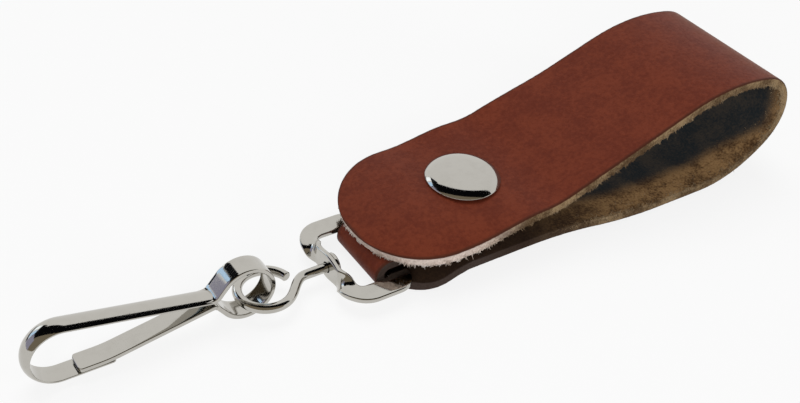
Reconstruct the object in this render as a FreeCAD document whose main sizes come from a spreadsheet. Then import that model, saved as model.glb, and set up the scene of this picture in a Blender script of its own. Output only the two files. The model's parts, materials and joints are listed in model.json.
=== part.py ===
import FreeCAD, Part
import math
import os
import Sketcher

# Belt key clip: a leather strap loop closed by a press snap, with a stamped bracket, a swivel eye
# and a spring-leaf hook. X runs along the strap towards the bend, Y across it, Z up.
# The sketches have their origin on the snap's axis, in the face that the strap rests on.
# The finished pieces are moved so that the row's origin lies under the middle of the whole length.

Vector = FreeCAD.Vector
document = FreeCAD.newDocument("belt_key_clip")
sheet = document.addObject("Spreadsheet::Sheet", "sizes")

# Driving dimensions in millimetres and degrees
SIZES = {
    # leather strap
    "strap_width": 31.75,
    "leather_thickness": 1.9,
    "loop_height": 26.3,
    "incline_angle": 20.5,
    "foot_curve_radius": 20.0,
    "crown_curve_radius": 40.0,
    "crown_past_top": 12.0,
    "bend_upper_radius": 10.6,
    "bend_lower_radius": 10.6,
    "bend_lower_angle": 45.0,
    "cap_seat_margin": 0.5,
    "flap_tip_curve_radius": 47.0,
    "flap_tip_curve_angle": 22.0,
    "flap_tip_flat": 1.75,
    "arch_height": 3.2,
    "arch_half_length": 6.0,
    "arch_rear_run": 36.0,
    "arch_front_run": 11.0,
    "shoulder_reach": 20.8,
    "shoulder_flat": 2.3,
    "shoulder_radius": 11.0,
    "tongue_width": 14.4,
    "tongue_offset": -2.4,
    "tongue_end_margin": 4.8,
    "tongue_end_flat": 2.4,
    "fold_reach": 25.7,
    "layer_gap": 0.1,
    "post_hole_play": 0.1,
    # press snap
    "cap_diameter": 15.0,
    "cap_dome_height": 1.5,
    "cap_rim_height": 0.6,
    "cap_lip_diameter": 9.0,
    "cap_wall": 0.25,
    "cap_post_diameter": 4.0,
    "cap_post_flange_diameter": 12.0,
    "cap_post_flare_diameter": 5.2,
    "post_wall": 0.4,
    "flange_thickness": 0.3,
    "snap_gap": 2.5,
    "socket_diameter": 10.8,
    "socket_skirt_diameter": 9.0,
    "socket_mouth_diameter": 4.8,
    "socket_wall": 0.25,
    "socket_clearance": 0.1,
    "spring_wire": 0.6,
    "spring_mean_diameter": 5.0,
    "spring_seat_gap": 0.01,
    "stud_flange_diameter": 9.4,
    "stud_flange_thickness": 0.4,
    "stud_neck_diameter": 3.7,
    "stud_neck_height": 0.7,
    "stud_head_diameter": 4.6,
    "stud_head_height": 0.5,
    "stud_crown_diameter": 4.0,
    "stud_post_diameter": 2.8,
    "stud_post_flange_diameter": 9.0,
    "stud_post_flare_diameter": 3.6,
    "stud_post_flare_height": 0.15,
    "stud_post_sink": 0.1,
    "post_fit_play": 0.05,
    # strap bracket
    "bracket_sheet": 1.1,
    "bracket_bar_width": 4.2,
    "bracket_bar_round": 0.5,
    "bracket_arm_width": 4.2,
    "bracket_side_play": 0.95,
    "bracket_front_run": 12.2,
    "bracket_front_width": 3.4,
    "bracket_front_radius": 5.5,
    "bracket_rear_radius": 4.0,
    "bracket_inner_radius": 1.2,
    "bracket_twist_start": 6.6,
    "bracket_twist_end": 2.8,
    "bracket_ear_height": 5.4,
    "bracket_neck_height": 4.8,
    "fold_play": 0.7,
    "bar_to_fold": 0.6,
    # swivel eye
    "wire_diameter": 1.9,
    "swivel_play": 0.05,
    "swivel_end_play": 0.1,
    "ring_mean_radius": 5.15,
    "ring_neck_radius": 3.65,
    "ring_gap_angle": 12.0,
    "shank_run": 5.45,
    "head_diameter": 4.8,
    "head_height": 1.2,
    "head_rim": 0.5,
    # hook
    "strip_thickness": 0.9,
    "curl_width": 4.4,
    "curl_mean_radius": 5.15,
    "curl_lead": 0.6,
    "neck_run": 6.05,
    "neck_height": 5.1,
    "neck_gap": 0.3,
    "neck_bend_radius": 1.5,
    "neck_overlap": 1.0,
    "spine_width": 4.0,
    "spine_edge": 0.3,
    "spine_crown": 0.8,
    "nose_run": 28.0,
    "nose_mean_radius": 5.7,
    "return_length": 9.2,
    "return_corner_radius": 1.0,
    "gate_width": 4.2,
    "gate_bend_radius": 1.2,
    "gate_curve_radius": 22.0,
    "gate_tip_inset": 2.6,
    "gate_tip_run": 5.3,
    "gate_corner_radius": 0.6,
    "gate_clearance": 0.06,
    "gate_rest_gap": 0.1,
}
for row, (name, value) in enumerate(SIZES.items(), start=1):
    sheet.set(f"A{row}", name)
    sheet.set(f"B{row}", str(value))
    sheet.setAlias(f"B{row}", name)
document.recompute()


def size(name):
    """A driving dimension as a number."""
    return float(sheet.get(name))


def sine(degrees):
    return math.sin(math.radians(degrees))


def cosine(degrees):
    return math.cos(math.radians(degrees))


# Heights and places that several pieces share, worked out from the driving dimensions
leather = size("leather_thickness")
arch = size("arch_height")
tongue_base = arch + leather + size("layer_gap")
tongue_top = tongue_base + leather
flap_base = tongue_top + size("snap_gap")
arch_landing = size("shoulder_reach") - size("shoulder_flat")
arch_front = arch_landing - size("arch_front_run")
flap_top = flap_base + leather
fold_radius = size("bracket_sheet") / 2 + size("fold_play")
fold_centre = -size("fold_reach") + leather + fold_radius
pivot_height = leather + fold_radius
bar_front = fold_centre - fold_radius + size("bar_to_fold")
pivot_place = bar_front + size("bracket_bar_width") / 2
tongue_end = size("stud_flange_diameter") / 2 + size("tongue_end_margin")
cap_seat = size("cap_diameter") / 2 + size("cap_seat_margin")
flap_tip = -cap_seat - size("flap_tip_curve_radius") * sine(size("flap_tip_curve_angle"))
socket_top = flap_base - size("socket_wall")
socket_base = tongue_top + size("stud_flange_thickness") + size("socket_clearance")
stud_neck_base = tongue_top + size("stud_flange_thickness")
stud_top = stud_neck_base + size("stud_neck_height") + size("stud_head_height")
bracket_front = pivot_place - size("bracket_front_run")
front_plate = bracket_front + size("bracket_front_width") / 2
half_strip = size("strip_thickness") / 2
spine_outer = size("spine_edge") + size("spine_crown") - half_strip


class Trail:
    """A bent strip's centre line: straight runs and tangent arcs in a plane with u and v."""

    def __init__(self, u, v, heading):
        self.start = (u, v, heading)
        self.steps = []

    def run(self, length):
        self.steps.append((length, None, 0.0))
        return self

    def left(self, radius, angle):
        self.steps.append((None, radius, angle))
        return self

    def right(self, radius, angle):
        self.steps.append((None, radius, -angle))
        return self

    def curves(self, offset=0.0):
        """The runs and arcs of the line that lies beside the centre line, to its left."""
        u, v, heading = self.start
        here = Vector(u - offset * sine(heading), v + offset * cosine(heading), 0)
        edges = []
        for length, radius, angle in self.steps:
            if radius is None:
                there = here + Vector(cosine(heading), sine(heading), 0) * length
                edges.append(Part.LineSegment(here, there))
            else:
                reach = math.copysign(radius, angle) - offset
                centre = here + Vector(-sine(heading), cosine(heading), 0) * reach
                middle = centre + Vector(sine(heading + angle / 2), -cosine(heading + angle / 2), 0) * reach
                heading += angle
                there = centre + Vector(sine(heading), -cosine(heading), 0) * reach
                edges.append(Part.Arc(here, middle, there))
            here = there
        return edges

    def points(self, offset=0.0):
        """The ends of the runs and arcs, from the first to the last."""
        shapes = [edge.toShape() for edge in self.curves(offset)]
        firsts = [shape.valueAt(shape.FirstParameter) for shape in shapes]
        return firsts + [shapes[-1].valueAt(shapes[-1].LastParameter)]

    def heading(self):
        """The direction at the end of the line, in degrees."""
        return self.start[2] + sum(angle for length, radius, angle in self.steps)

    def band(self, thickness):
        """The closed outline of a strip of this thickness about the centre line."""
        left_side = self.points(thickness / 2)
        right_side = self.points(-thickness / 2)
        caps = [
            Part.LineSegment(left_side[0], right_side[0]),
            Part.LineSegment(left_side[-1], right_side[-1]),
        ]
        return self.curves(thickness / 2) + self.curves(-thickness / 2) + caps


def new_body(label):
    body = document.addObject("PartDesign::Body", label)
    body.Label = label
    return body


def new_sketch(body, role, name, lift=0.0):
    """A sketch on one of the body's own origin planes, moved along that plane's normal."""
    plane = next(item for item in body.Origin.OriginFeatures if item.Role == role)
    sketch = body.newObject("Sketcher::SketchObject", f"{body.Label}_{name}")
    sketch.AttachmentSupport = [(plane, "")]
    sketch.MapMode = "FlatFace"
    sketch.AttachmentOffset = FreeCAD.Placement(Vector(0, 0, lift), FreeCAD.Rotation())
    return sketch


def draw(sketch, edges):
    """Adds lines and arcs, each held where it is."""
    for edge in edges:
        index = sketch.addGeometry(edge, False)
        sketch.addConstraint(Sketcher.Constraint("Block", index))


def closed_lines(points):
    """Straight edges through the points and back to the first."""
    corners = [Vector(u, v, 0) for u, v in points]
    return [Part.LineSegment(a, b) for a, b in zip(corners, corners[1:] + corners[:1])]


def draw_circle(sketch, height, diameter, expression):
    """A circle on the sketch's upright axis, with its diameter bound to the sheet."""
    centre = Vector(0, height, 0)
    index = sketch.addGeometry(Part.Circle(centre, Vector(0, 0, 1), diameter / 2), False)
    sketch.addConstraint(Sketcher.Constraint("PointOnObject", index, 3, -2))
    if height:
        sketch.addConstraint(Sketcher.Constraint("DistanceY", -1, 1, index, 3, height))
    else:
        sketch.addConstraint(Sketcher.Constraint("PointOnObject", index, 3, -1))
    number = sketch.addConstraint(Sketcher.Constraint("Diameter", index, diameter))
    sketch.setExpression(f"Constraints[{number}]", expression)


def pad(body, sketch, expression, name):
    """A pad as wide as the expression, half to each side of its sketch."""
    feature = body.newObject("PartDesign::Pad", f"{body.Label}_{name}")
    feature.Profile = sketch
    feature.SideType = "Symmetric"
    feature.setExpression("Length", expression)
    document.recompute()
    return feature


def pocket(body, sketch, expression, name):
    """A cut as deep as the expression, half to each side of its sketch."""
    before = body.Shape.Volume
    feature = body.newObject("PartDesign::Pocket", f"{body.Label}_{name}")
    feature.Profile = sketch
    feature.SideType = "Symmetric"
    feature.setExpression("Length", expression)
    document.recompute()
    if body.Shape.Volume >= before:
        raise RuntimeError(f"{feature.Name} cut nothing")
    return feature


def revolution(body, sketch, axis, name):
    """A full turn of the sketch about one of its own axes."""
    feature = body.newObject("PartDesign::Revolution", f"{body.Label}_{name}")
    feature.Profile = sketch
    feature.ReferenceAxis = (sketch, [axis])
    feature.Angle = 360.0
    document.recompute()
    return feature


def pipe(body, profile, path, name):
    """A profile carried along a path."""
    feature = body.newObject("PartDesign::AdditivePipe", f"{body.Label}_{name}")
    feature.Profile = profile
    feature.Spine = (path, [f"Edge{i + 1}" for i in range(path.GeometryCount)])
    document.recompute()
    return feature


def fillet(body, base, chosen, cell, name):
    """Rounds those edges of the base feature that the test picks."""
    names = [f"Edge{i}" for i, edge in enumerate(base.Shape.Edges, start=1) if chosen(edge)]
    if not names:
        raise RuntimeError(f"{name} of {body.Label} found no edge")
    feature = body.newObject("PartDesign::Fillet", f"{body.Label}_{name}")
    feature.Base = (base, names)
    feature.setExpression("Radius", f"sizes.{cell}")
    document.recompute()
    return feature


def upright_at(place, half_width):
    """A test for the upright edges at this X, on both sides at this distance from the middle."""

    def test(edge):
        middle = edge.CenterOfMass
        upright = edge.BoundBox.XLength < 0.5 and edge.BoundBox.YLength < 0.01
        return upright and abs(middle.x - place) < 0.5 and abs(abs(middle.y) - half_width) < 0.01

    return test


def round_end(body, end, half_width, flat, middle, lift, name):
    """Cuts a strip's end, at this X, to two quarter rounds with a short flat between them."""
    cut = new_sketch(body, "XY_Plane", f"{name}_outline", lift)
    radius = half_width - flat / 2
    inward = math.copysign(1.0, -end)
    margin = leather
    for side in (-1.0, 1.0):
        centre = Vector(end + inward * radius, middle + side * flat / 2, 0)
        first = centre - Vector(inward * radius, 0, 0)
        last = centre + Vector(0, side * radius, 0)
        halfway = centre + Vector(-inward * sine(45.0), side * sine(45.0), 0) * radius
        outside = Vector(end - inward * margin, last.y + side * margin, 0)
        corners = [last, Vector(last.x, outside.y, 0), outside, Vector(outside.x, first.y, 0), first]
        lines = [Part.LineSegment(a, b) for a, b in zip(corners, corners[1:])]
        draw(cut, [Part.Arc(first, halfway, last)] + lines)
    pocket(body, cut, "4 * sizes.leather_thickness", name)


def rise_bend(rise, run):
    """The radius and turn of two equal tangent arcs that climb this much over this run."""
    turn = 2 * math.degrees(math.atan2(rise, run))
    return run / (2 * sine(turn)), turn


# Leather strap
def flap_trail():
    """The flap's centre line, from its tip over the loop to the outermost line of the bend."""
    turn = size("incline_angle")
    foot = size("foot_curve_radius")
    crown = size("crown_curve_radius")
    past = size("crown_past_top")
    tip_radius = size("flap_tip_curve_radius") - leather / 2
    tip_turn = size("flap_tip_curve_angle")
    rise = size("loop_height") - flap_top
    incline = (rise - (foot + crown) * (1 - cosine(turn))) / sine(turn)
    seat_height = flap_top - leather / 2
    tip_height = seat_height - tip_radius * (1 - cosine(tip_turn))
    trail = Trail(-cap_seat - tip_radius * sine(tip_turn), tip_height, tip_turn)
    trail.right(tip_radius, tip_turn)
    trail.run(2 * cap_seat)
    trail.left(foot + leather / 2, turn)
    trail.run(incline)
    trail.right(crown - leather / 2, turn + past)
    trail.right(size("bend_upper_radius") - leather / 2, 90.0 - past)
    return trail


# The outermost line of the bend, where the flap and the lower layer meet
bend_middle = flap_trail().points()[-1]
bend_reach = bend_middle.x + leather / 2
bend_height = bend_middle.y


def lower_trail():
    """The lower layer's centre line, from the outermost line of the bend to its shoulders."""
    first = size("bend_lower_angle")
    second = 90.0 - first
    tight = size("bend_lower_radius")
    wide = (bend_height - tight * sine(first)) / (1 - cosine(second))
    flat_start = bend_reach - tight * (1 - cosine(first)) - wide * sine(second)
    trail = Trail(bend_reach - leather / 2, bend_height, -90.0)
    half = size("arch_half_length")
    rear_radius, rear_turn = rise_bend(arch, size("arch_rear_run"))
    front_radius, front_turn = rise_bend(arch, size("arch_front_run"))
    trail.right(tight - leather / 2, first)
    trail.right(wide - leather / 2, second)
    trail.run(flat_start - half - size("arch_rear_run"))
    trail.right(rear_radius, rear_turn)
    trail.left(rear_radius, rear_turn)
    trail.run(half + arch_front)
    trail.left(front_radius, front_turn)
    trail.right(front_radius, front_turn)
    trail.run(size("shoulder_flat"))
    return trail


def tongue_trail():
    """The tongue's centre line: under the bracket's bar, round it, and back over the lower layer."""
    root = -arch_landing
    bar_end = bar_front + size("bracket_bar_width")
    rise = tongue_base - leather - 2 * fold_radius
    radius, turn = rise_bend(rise, -arch_front - bar_end)
    trail = Trail(root, leather / 2, 180.0)
    trail.run(root - fold_centre)
    trail.right(fold_radius + leather / 2, 180.0)
    trail.run(bar_end - fold_centre)
    trail.left(radius, turn)
    trail.right(radius, turn)
    trail.run(arch_front + tongue_end)
    return trail


def make_strap_flap():
    body = new_body("strap_flap")
    profile = new_sketch(body, "XZ_Plane", "profile")
    draw(profile, flap_trail().band(leather))
    pad(body, profile, "sizes.strap_width", "strip")
    half_width = size("strap_width") / 2
    round_end(body, flap_tip, half_width, size("flap_tip_flat"), 0.0, flap_base, "rounded_tip")
    hole = new_sketch(body, "XY_Plane", "post_hole", flap_base)
    bore = size("cap_post_diameter") + 2 * size("post_hole_play")
    draw_circle(hole, 0, bore, "sizes.cap_post_diameter + 2 * sizes.post_hole_play")
    pocket(body, hole, "4 * sizes.leather_thickness", "post_bore")
    return body


def make_strap_back():
    body = new_body("strap_back")
    lower = new_sketch(body, "XZ_Plane", "lower_profile")
    draw(lower, lower_trail().band(leather))
    pad(body, lower, "sizes.strap_width", "lower_layer")
    half_width = size("strap_width") / 2
    front_flat = 2 * (half_width - size("shoulder_radius"))
    halfway_up = (arch + leather) / 2
    round_end(body, -size("shoulder_reach"), half_width, front_flat, 0.0, halfway_up, "shoulders")
    middle = size("tongue_offset")
    tongue = new_sketch(body, "XZ_Plane", "tongue_profile", -middle)
    draw(tongue, tongue_trail().band(leather))
    pad(body, tongue, "sizes.tongue_width", "tongue")
    half_tongue = size("tongue_width") / 2
    round_end(body, tongue_end, half_tongue, size("tongue_end_flat"), middle, tongue_top, "tongue_end")
    hole = new_sketch(body, "XY_Plane", "post_hole", arch)
    bore = size("stud_post_diameter") + 2 * size("post_hole_play")
    draw_circle(hole, 0, bore, "sizes.stud_post_diameter + 2 * sizes.post_hole_play")
    pocket(body, hole, "2 * (2 * sizes.leather_thickness + 2 * sizes.layer_gap)", "post_bore")
    recess = new_sketch(body, "XY_Plane", "flange_recess", arch)
    bore = size("stud_post_flange_diameter") + 2 * size("post_hole_play")
    draw_circle(recess, 0, bore, "sizes.stud_post_flange_diameter + 2 * sizes.post_hole_play")
    pocket(body, recess, "2 * (sizes.flange_thickness + sizes.stud_post_sink)", "flange_seat")
    return body


# Press snap, turned about its axis
def make_turned(label, edges):
    body = new_body(label)
    sketch = new_sketch(body, "XZ_Plane", "profile")
    draw(sketch, edges)
    revolution(body, sketch, "V_Axis", "turned")
    return body


def dome_arc(peak, edge_radius, edge_height):
    """The arc of a shallow dome, from the axis down to its edge."""
    drop = peak - edge_height
    radius = (edge_radius**2 + drop**2) / (2 * drop)
    middle = edge_radius / 2
    halfway = Vector(middle, peak - radius + math.sqrt(radius**2 - middle**2), 0)
    return Part.Arc(Vector(0, peak, 0), halfway, Vector(edge_radius, edge_height, 0))


def make_snap_cap():
    """The domed shell, rolled round its rim and in under it."""
    wall = size("cap_wall")
    roll = size("cap_rim_height") / 2
    rim = size("cap_diameter") / 2
    shoulder = flap_top + size("cap_rim_height")
    peak = shoulder + size("cap_dome_height")
    lip = size("cap_lip_diameter") / 2
    bottom = flap_top
    inside = rim - roll
    edges = [
        dome_arc(peak, inside, shoulder),
        Part.Arc(Vector(inside, shoulder, 0), Vector(rim, bottom + roll, 0), Vector(inside, bottom, 0)),
        Part.LineSegment(Vector(inside, bottom, 0), Vector(lip, bottom, 0)),
        Part.LineSegment(Vector(lip, bottom, 0), Vector(lip, bottom + wall, 0)),
        Part.LineSegment(Vector(lip, bottom + wall, 0), Vector(inside, bottom + wall, 0)),
        Part.LineSegment(Vector(inside, bottom + wall, 0), Vector(inside, shoulder - wall, 0)),
        dome_arc(peak - wall, inside, shoulder - wall),
        Part.LineSegment(Vector(0, peak - wall, 0), Vector(0, peak, 0)),
    ]
    return make_turned("snap_cap", edges)


def make_snap_cap_post():
    """The eyelet that the cap's shell holds, flared under the socket's floor."""
    outer = size("cap_post_diameter") / 2
    inner = outer - size("post_wall")
    flange = size("cap_post_flange_diameter") / 2
    flare = size("cap_post_flare_diameter") / 2
    low = flap_top + size("cap_wall")
    high = low + size("flange_thickness")
    flare_base = socket_top - size("flange_thickness")
    points = [(inner, high), (flange, high), (flange, low), (outer, low), (outer, socket_top)]
    points += [(flare, socket_top), (flare, flare_base), (inner, flare_base)]
    return make_turned("snap_cap_post", closed_lines(points))


def make_snap_socket():
    """The stamped cup under the flap, with a mouth that lets the stud's head in."""
    wall = size("socket_wall")
    bore = size("cap_post_diameter") / 2 + size("post_fit_play")
    rim = size("socket_diameter") / 2
    skirt = size("socket_skirt_diameter") / 2
    mouth = size("socket_mouth_diameter") / 2
    points = [(bore, flap_base), (rim, flap_base), (rim, socket_top), (skirt, socket_top)]
    points += [(skirt, socket_base), (mouth, socket_base), (mouth, socket_base + wall)]
    points += [(skirt - wall, socket_base + wall), (skirt - wall, socket_top), (bore, socket_top)]
    return make_turned("snap_socket", closed_lines(points))


def make_snap_spring():
    """The wire ring that lies on the socket's lip and grips the stud's neck."""
    ring = document.addObject("Part::Torus", "snap_spring")
    ring.Label = "snap_spring"
    ring.setExpression("Radius1", "sizes.spring_mean_diameter / 2")
    ring.setExpression("Radius2", "sizes.spring_wire / 2")
    seat = socket_base + size("socket_wall") + size("spring_seat_gap")
    ring.Placement = FreeCAD.Placement(Vector(0, 0, seat + size("spring_wire") / 2), FreeCAD.Rotation())
    return ring


def make_snap_stud():
    """The male half: a flange on the tongue, a neck and a wider head."""
    bore = size("stud_post_diameter") / 2 + size("post_fit_play")
    flange = size("stud_flange_diameter") / 2
    neck = size("stud_neck_diameter") / 2
    head = size("stud_head_diameter") / 2
    crown = size("stud_crown_diameter") / 2
    neck_top = stud_neck_base + size("stud_neck_height")
    widest = neck_top + size("stud_head_height") / 2
    points = [(bore, tongue_top), (flange, tongue_top), (flange, stud_neck_base), (neck, stud_neck_base)]
    points += [(neck, neck_top), (head, widest), (crown, stud_top), (bore, stud_top)]
    return make_turned("snap_stud", closed_lines(points))


def make_snap_stud_post():
    """The eyelet under the strap, flared over the stud's head."""
    outer = size("stud_post_diameter") / 2
    inner = outer - size("post_wall")
    flange = size("stud_post_flange_diameter") / 2
    flare = size("stud_post_flare_diameter") / 2
    low = arch + size("stud_post_sink")
    high = low + size("flange_thickness")
    flare_top = stud_top + size("stud_post_flare_height")
    points = [(inner, low), (flange, low), (flange, high), (outer, high), (outer, stud_top)]
    points += [(flare, stud_top), (flare, flare_top), (inner, flare_top)]
    return make_turned("snap_stud_post", closed_lines(points))


# Strap bracket
def make_strap_bracket():
    """A flat stamped loop whose front piece turns upright to carry the swivel."""
    body = new_body("strap_bracket")
    sheet_metal = size("bracket_sheet")
    inner_half = size("tongue_width") / 2 + size("bracket_side_play")
    outer_half = inner_half + size("bracket_arm_width")
    front = bracket_front
    front_inside = front + size("bracket_front_width")
    rear = bar_front + size("bracket_bar_width")
    rear_inside = bar_front
    twist_start = size("bracket_twist_start")

    loop = new_sketch(body, "XY_Plane", "loop_outline", pivot_height)
    outer = [(front, twist_start), (front, outer_half), (rear, outer_half)]
    outer += [(rear, -outer_half), (front, -outer_half), (front, -twist_start)]
    inner = [(front_inside, -twist_start), (front_inside, -inner_half), (rear_inside, -inner_half)]
    inner += [(rear_inside, inner_half), (front_inside, inner_half), (front_inside, twist_start)]
    draw(loop, closed_lines(outer + inner))
    flat = pad(body, loop, "sizes.bracket_sheet", "flat_loop")
    at_front = upright_at(front, outer_half)
    at_rear = upright_at(rear, outer_half)
    at_inner_front = upright_at(front_inside, inner_half)
    at_inner_rear = upright_at(rear_inside, inner_half)
    rounded = fillet(body, flat, at_front, "bracket_front_radius", "front_corners")
    rounded = fillet(body, rounded, at_rear, "bracket_rear_radius", "rear_corners")
    rounded = fillet(body, rounded, at_inner_front, "bracket_inner_radius", "inner_front_corners")
    rounded = fillet(body, rounded, at_inner_rear, "bracket_inner_radius", "inner_rear_corners")

    def on_bar(edge):
        middle = edge.CenterOfMass
        along = edge.BoundBox.YLength > inner_half
        return along and middle.x > rear_inside - 0.1

    fillet(body, rounded, on_bar, "bracket_bar_round", "rounded_bar")

    def section(place, width, height):
        """An upright rectangle across the front piece, at this distance from the middle."""
        sketch = new_sketch(body, "XZ_Plane", f"front_{round(place * 10)}".replace("-", "minus_"), place)
        left = front_plate - width / 2
        low = pivot_height - height / 2
        points = [(left, low), (left + width, low), (left + width, low + height), (left, low + height)]
        draw(sketch, closed_lines(points))
        return sketch

    twist_end = size("bracket_twist_end")
    front_width = size("bracket_front_width")
    neck_height = size("bracket_neck_height")
    sections = [
        section(-twist_start, front_width, sheet_metal),
        section(-twist_end, sheet_metal, neck_height),
        section(0.0, sheet_metal, size("bracket_ear_height")),
        section(twist_end, sheet_metal, neck_height),
        section(twist_start, front_width, sheet_metal),
    ]
    turned_up = body.newObject("PartDesign::AdditiveLoft", "strap_bracket_front")
    turned_up.Profile = sections[0]
    turned_up.Sections = sections[1:]
    document.recompute()
    hole = new_sketch(body, "YZ_Plane", "swivel_hole", front_plate)
    bore = size("wire_diameter") + 2 * size("swivel_play")
    draw_circle(hole, pivot_height, bore, "sizes.wire_diameter + 2 * sizes.swivel_play")
    pocket(body, hole, "2 * sizes.bracket_front_width", "swivel_bore")
    return body


# Swivel eye
ring_neck = front_plate - size("shank_run")
ring_span = size("ring_mean_radius") + size("ring_neck_radius")
ring_way = math.sqrt(ring_span**2 - size("ring_neck_radius") ** 2)
ring_end = ring_neck - ring_way - size("ring_mean_radius")


def make_swivel_eye():
    """A wire bent into a ring, with a straight shank and an upset head inside the bracket."""
    body = new_body("swivel_eye")
    ring = size("ring_mean_radius")
    neck = size("ring_neck_radius")
    neck_turn = 90.0 - math.degrees(math.asin(neck / (ring + neck)))
    head_face = front_plate + size("bracket_sheet") / 2 + size("swivel_end_play")
    shank_end = head_face + size("head_rim")
    trail = Trail(shank_end, 0.0, 180.0)
    trail.run(shank_end - ring_neck)
    trail.left(neck, neck_turn)
    trail.right(ring, 360.0 - (90.0 - neck_turn) - size("ring_gap_angle"))
    path = new_sketch(body, "XY_Plane", "wire_path", pivot_height)
    draw(path, trail.curves())
    wire = new_sketch(body, "YZ_Plane", "wire_section", shank_end)
    draw_circle(wire, pivot_height, size("wire_diameter"), "sizes.wire_diameter")
    pipe(body, wire, path, "wire")
    head = new_sketch(body, "XY_Plane", "head_profile", pivot_height)
    rim = size("head_diameter") / 2
    rim_end = head_face + size("head_rim")
    top = head_face + size("head_height")
    drop = top - rim_end
    radius = (rim**2 + drop**2) / (2 * drop)
    middle = Vector(top - radius + math.sqrt(radius**2 - (rim / 2) ** 2), rim / 2, 0)
    edges = [
        Part.LineSegment(Vector(head_face, 0, 0), Vector(head_face, rim, 0)),
        Part.LineSegment(Vector(head_face, rim, 0), Vector(rim_end, rim, 0)),
        Part.Arc(Vector(rim_end, rim, 0), middle, Vector(top, 0, 0)),
        Part.LineSegment(Vector(top, 0, 0), Vector(head_face, 0, 0)),
    ]
    draw(head, edges)
    revolution(body, head, "H_Axis", "upset_head")
    return body


# Hook, one strip in the upright plane: return, nose, spine, curl and leaf
curl_centre = Vector(ring_end + size("curl_lead"), size("curl_mean_radius") + half_strip, 0)
neck_lower = Vector(curl_centre.x - size("neck_run"), size("neck_height"), 0)
neck_upper = neck_lower + Vector(0, size("strip_thickness") + size("neck_gap"), 0)
nose_centre = Vector(neck_lower.x - size("nose_run"), size("nose_mean_radius") + spine_outer, 0)
return_end = nose_centre.x + size("return_length")
gate_rest = spine_outer + half_strip + size("gate_rest_gap") + half_strip
gate_corner = Vector(nose_centre.x + size("gate_tip_inset") + size("gate_tip_run"), gate_rest, 0)
gate_way = neck_lower - gate_corner
gate_angle = math.degrees(math.atan2(gate_way.y, gate_way.x))


def spine_slope():
    """How steeply the spine comes down from the nose to the neck, in degrees."""
    way = neck_upper - nose_centre
    rise = math.degrees(math.atan2(way.y, way.x))
    return math.degrees(math.asin(size("nose_mean_radius") / way.Length)) - rise


def spine_trail():
    """From the end of the return round the nose and along the spine to the neck."""
    slope = spine_slope()
    way = neck_upper - nose_centre
    spine_run = math.sqrt(way.Length**2 - size("nose_mean_radius") ** 2)
    trail = Trail(return_end, spine_outer, 180.0)
    trail.run(size("return_length"))
    trail.right(size("nose_mean_radius"), 180.0 + slope)
    trail.run(spine_run)
    return trail


def curl_angles():
    """The directions in which the strip runs up to the curl and comes back from it."""
    radius = size("curl_mean_radius")
    way_in = curl_centre - neck_upper
    way_out = neck_lower - curl_centre
    up = math.degrees(math.atan2(way_in.y, way_in.x) + math.asin(radius / way_in.Length))
    back = math.degrees(math.atan2(way_out.y, way_out.x) - math.asin(radius / way_out.Length)) % 360.0
    return up, back


def gate_turn():
    """The bend between the curl's lower run and the leaf."""
    return 180.0 + gate_angle - curl_angles()[1]


def curl_trail():
    """From the neck over the curl to the cut where the leaf begins."""
    up, back = curl_angles()
    radius = size("curl_mean_radius")
    slope = spine_slope()
    neck_bend = size("neck_bend_radius")
    neck_cut = neck_bend * math.tan(math.radians(up + slope) / 2)
    gate_bend = size("gate_bend_radius")
    gate_cut = gate_bend * math.tan(math.radians(gate_turn()) / 2)
    clearance = math.degrees(size("gate_clearance") / gate_bend)
    lead = neck_cut + size("neck_overlap")
    start = neck_upper - Vector(cosine(slope), -sine(slope), 0) * lead
    trail = Trail(start.x, start.y, -slope)
    trail.run(size("neck_overlap"))
    trail.left(neck_bend, up + slope)
    trail.run(math.sqrt((curl_centre - neck_upper).Length ** 2 - radius**2) - neck_cut)
    trail.right(radius, up + 360.0 - back)
    trail.run(math.sqrt((curl_centre - neck_lower).Length ** 2 - radius**2) - gate_cut)
    trail.left(gate_bend, gate_turn() / 2 - clearance)
    return trail


def gate_trail():
    """From the cut at the neck along the leaf to its tip on the return."""
    curve = size("gate_curve_radius")
    curve_cut = curve * math.tan(math.radians(gate_angle) / 2)
    gate_bend = size("gate_bend_radius")
    gate_cut = gate_bend * math.tan(math.radians(gate_turn()) / 2)
    bend_centre = neck_lower + Vector(sine(gate_angle), -cosine(gate_angle), 0) * gate_bend
    bend_centre -= Vector(cosine(gate_angle), sine(gate_angle), 0) * gate_cut
    middle = curl_angles()[1] + gate_turn() / 2
    start = bend_centre + Vector(sine(middle), -cosine(middle), 0) * gate_bend
    trail = Trail(start.x, start.y, middle)
    trail.left(gate_bend, gate_turn() / 2)
    trail.run(gate_way.Length - gate_cut - curve_cut)
    trail.right(curve, gate_angle)
    trail.run(size("gate_tip_run") - curve_cut)
    return trail


def make_hook_body():
    """The return, nose and crowned spine, with the curl that the swivel eye runs in."""
    body = new_body("hook_body")
    curl = new_sketch(body, "XZ_Plane", "curl_profile")
    draw(curl, curl_trail().band(size("strip_thickness")))
    pad(body, curl, "sizes.curl_width", "curl")
    path = new_sketch(body, "XZ_Plane", "spine_path")
    draw(path, spine_trail().curves())
    section = new_sketch(body, "YZ_Plane", "spine_section", return_end)
    half = size("spine_width") / 2
    flat_side = spine_outer + half_strip
    edge_side = flat_side - size("spine_edge")
    edges = [
        Part.LineSegment(Vector(-half, edge_side, 0), Vector(-half, flat_side, 0)),
        Part.LineSegment(Vector(-half, flat_side, 0), Vector(half, flat_side, 0)),
        Part.LineSegment(Vector(half, flat_side, 0), Vector(half, edge_side, 0)),
        Part.Arc(Vector(half, edge_side, 0), Vector(0, 0, 0), Vector(-half, edge_side, 0)),
    ]
    draw(section, edges)
    spine = pipe(body, section, path, "spine")
    corners = upright_at(return_end, half)
    fillet(body, spine, corners, "return_corner_radius", "return_corners")
    return body


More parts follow.
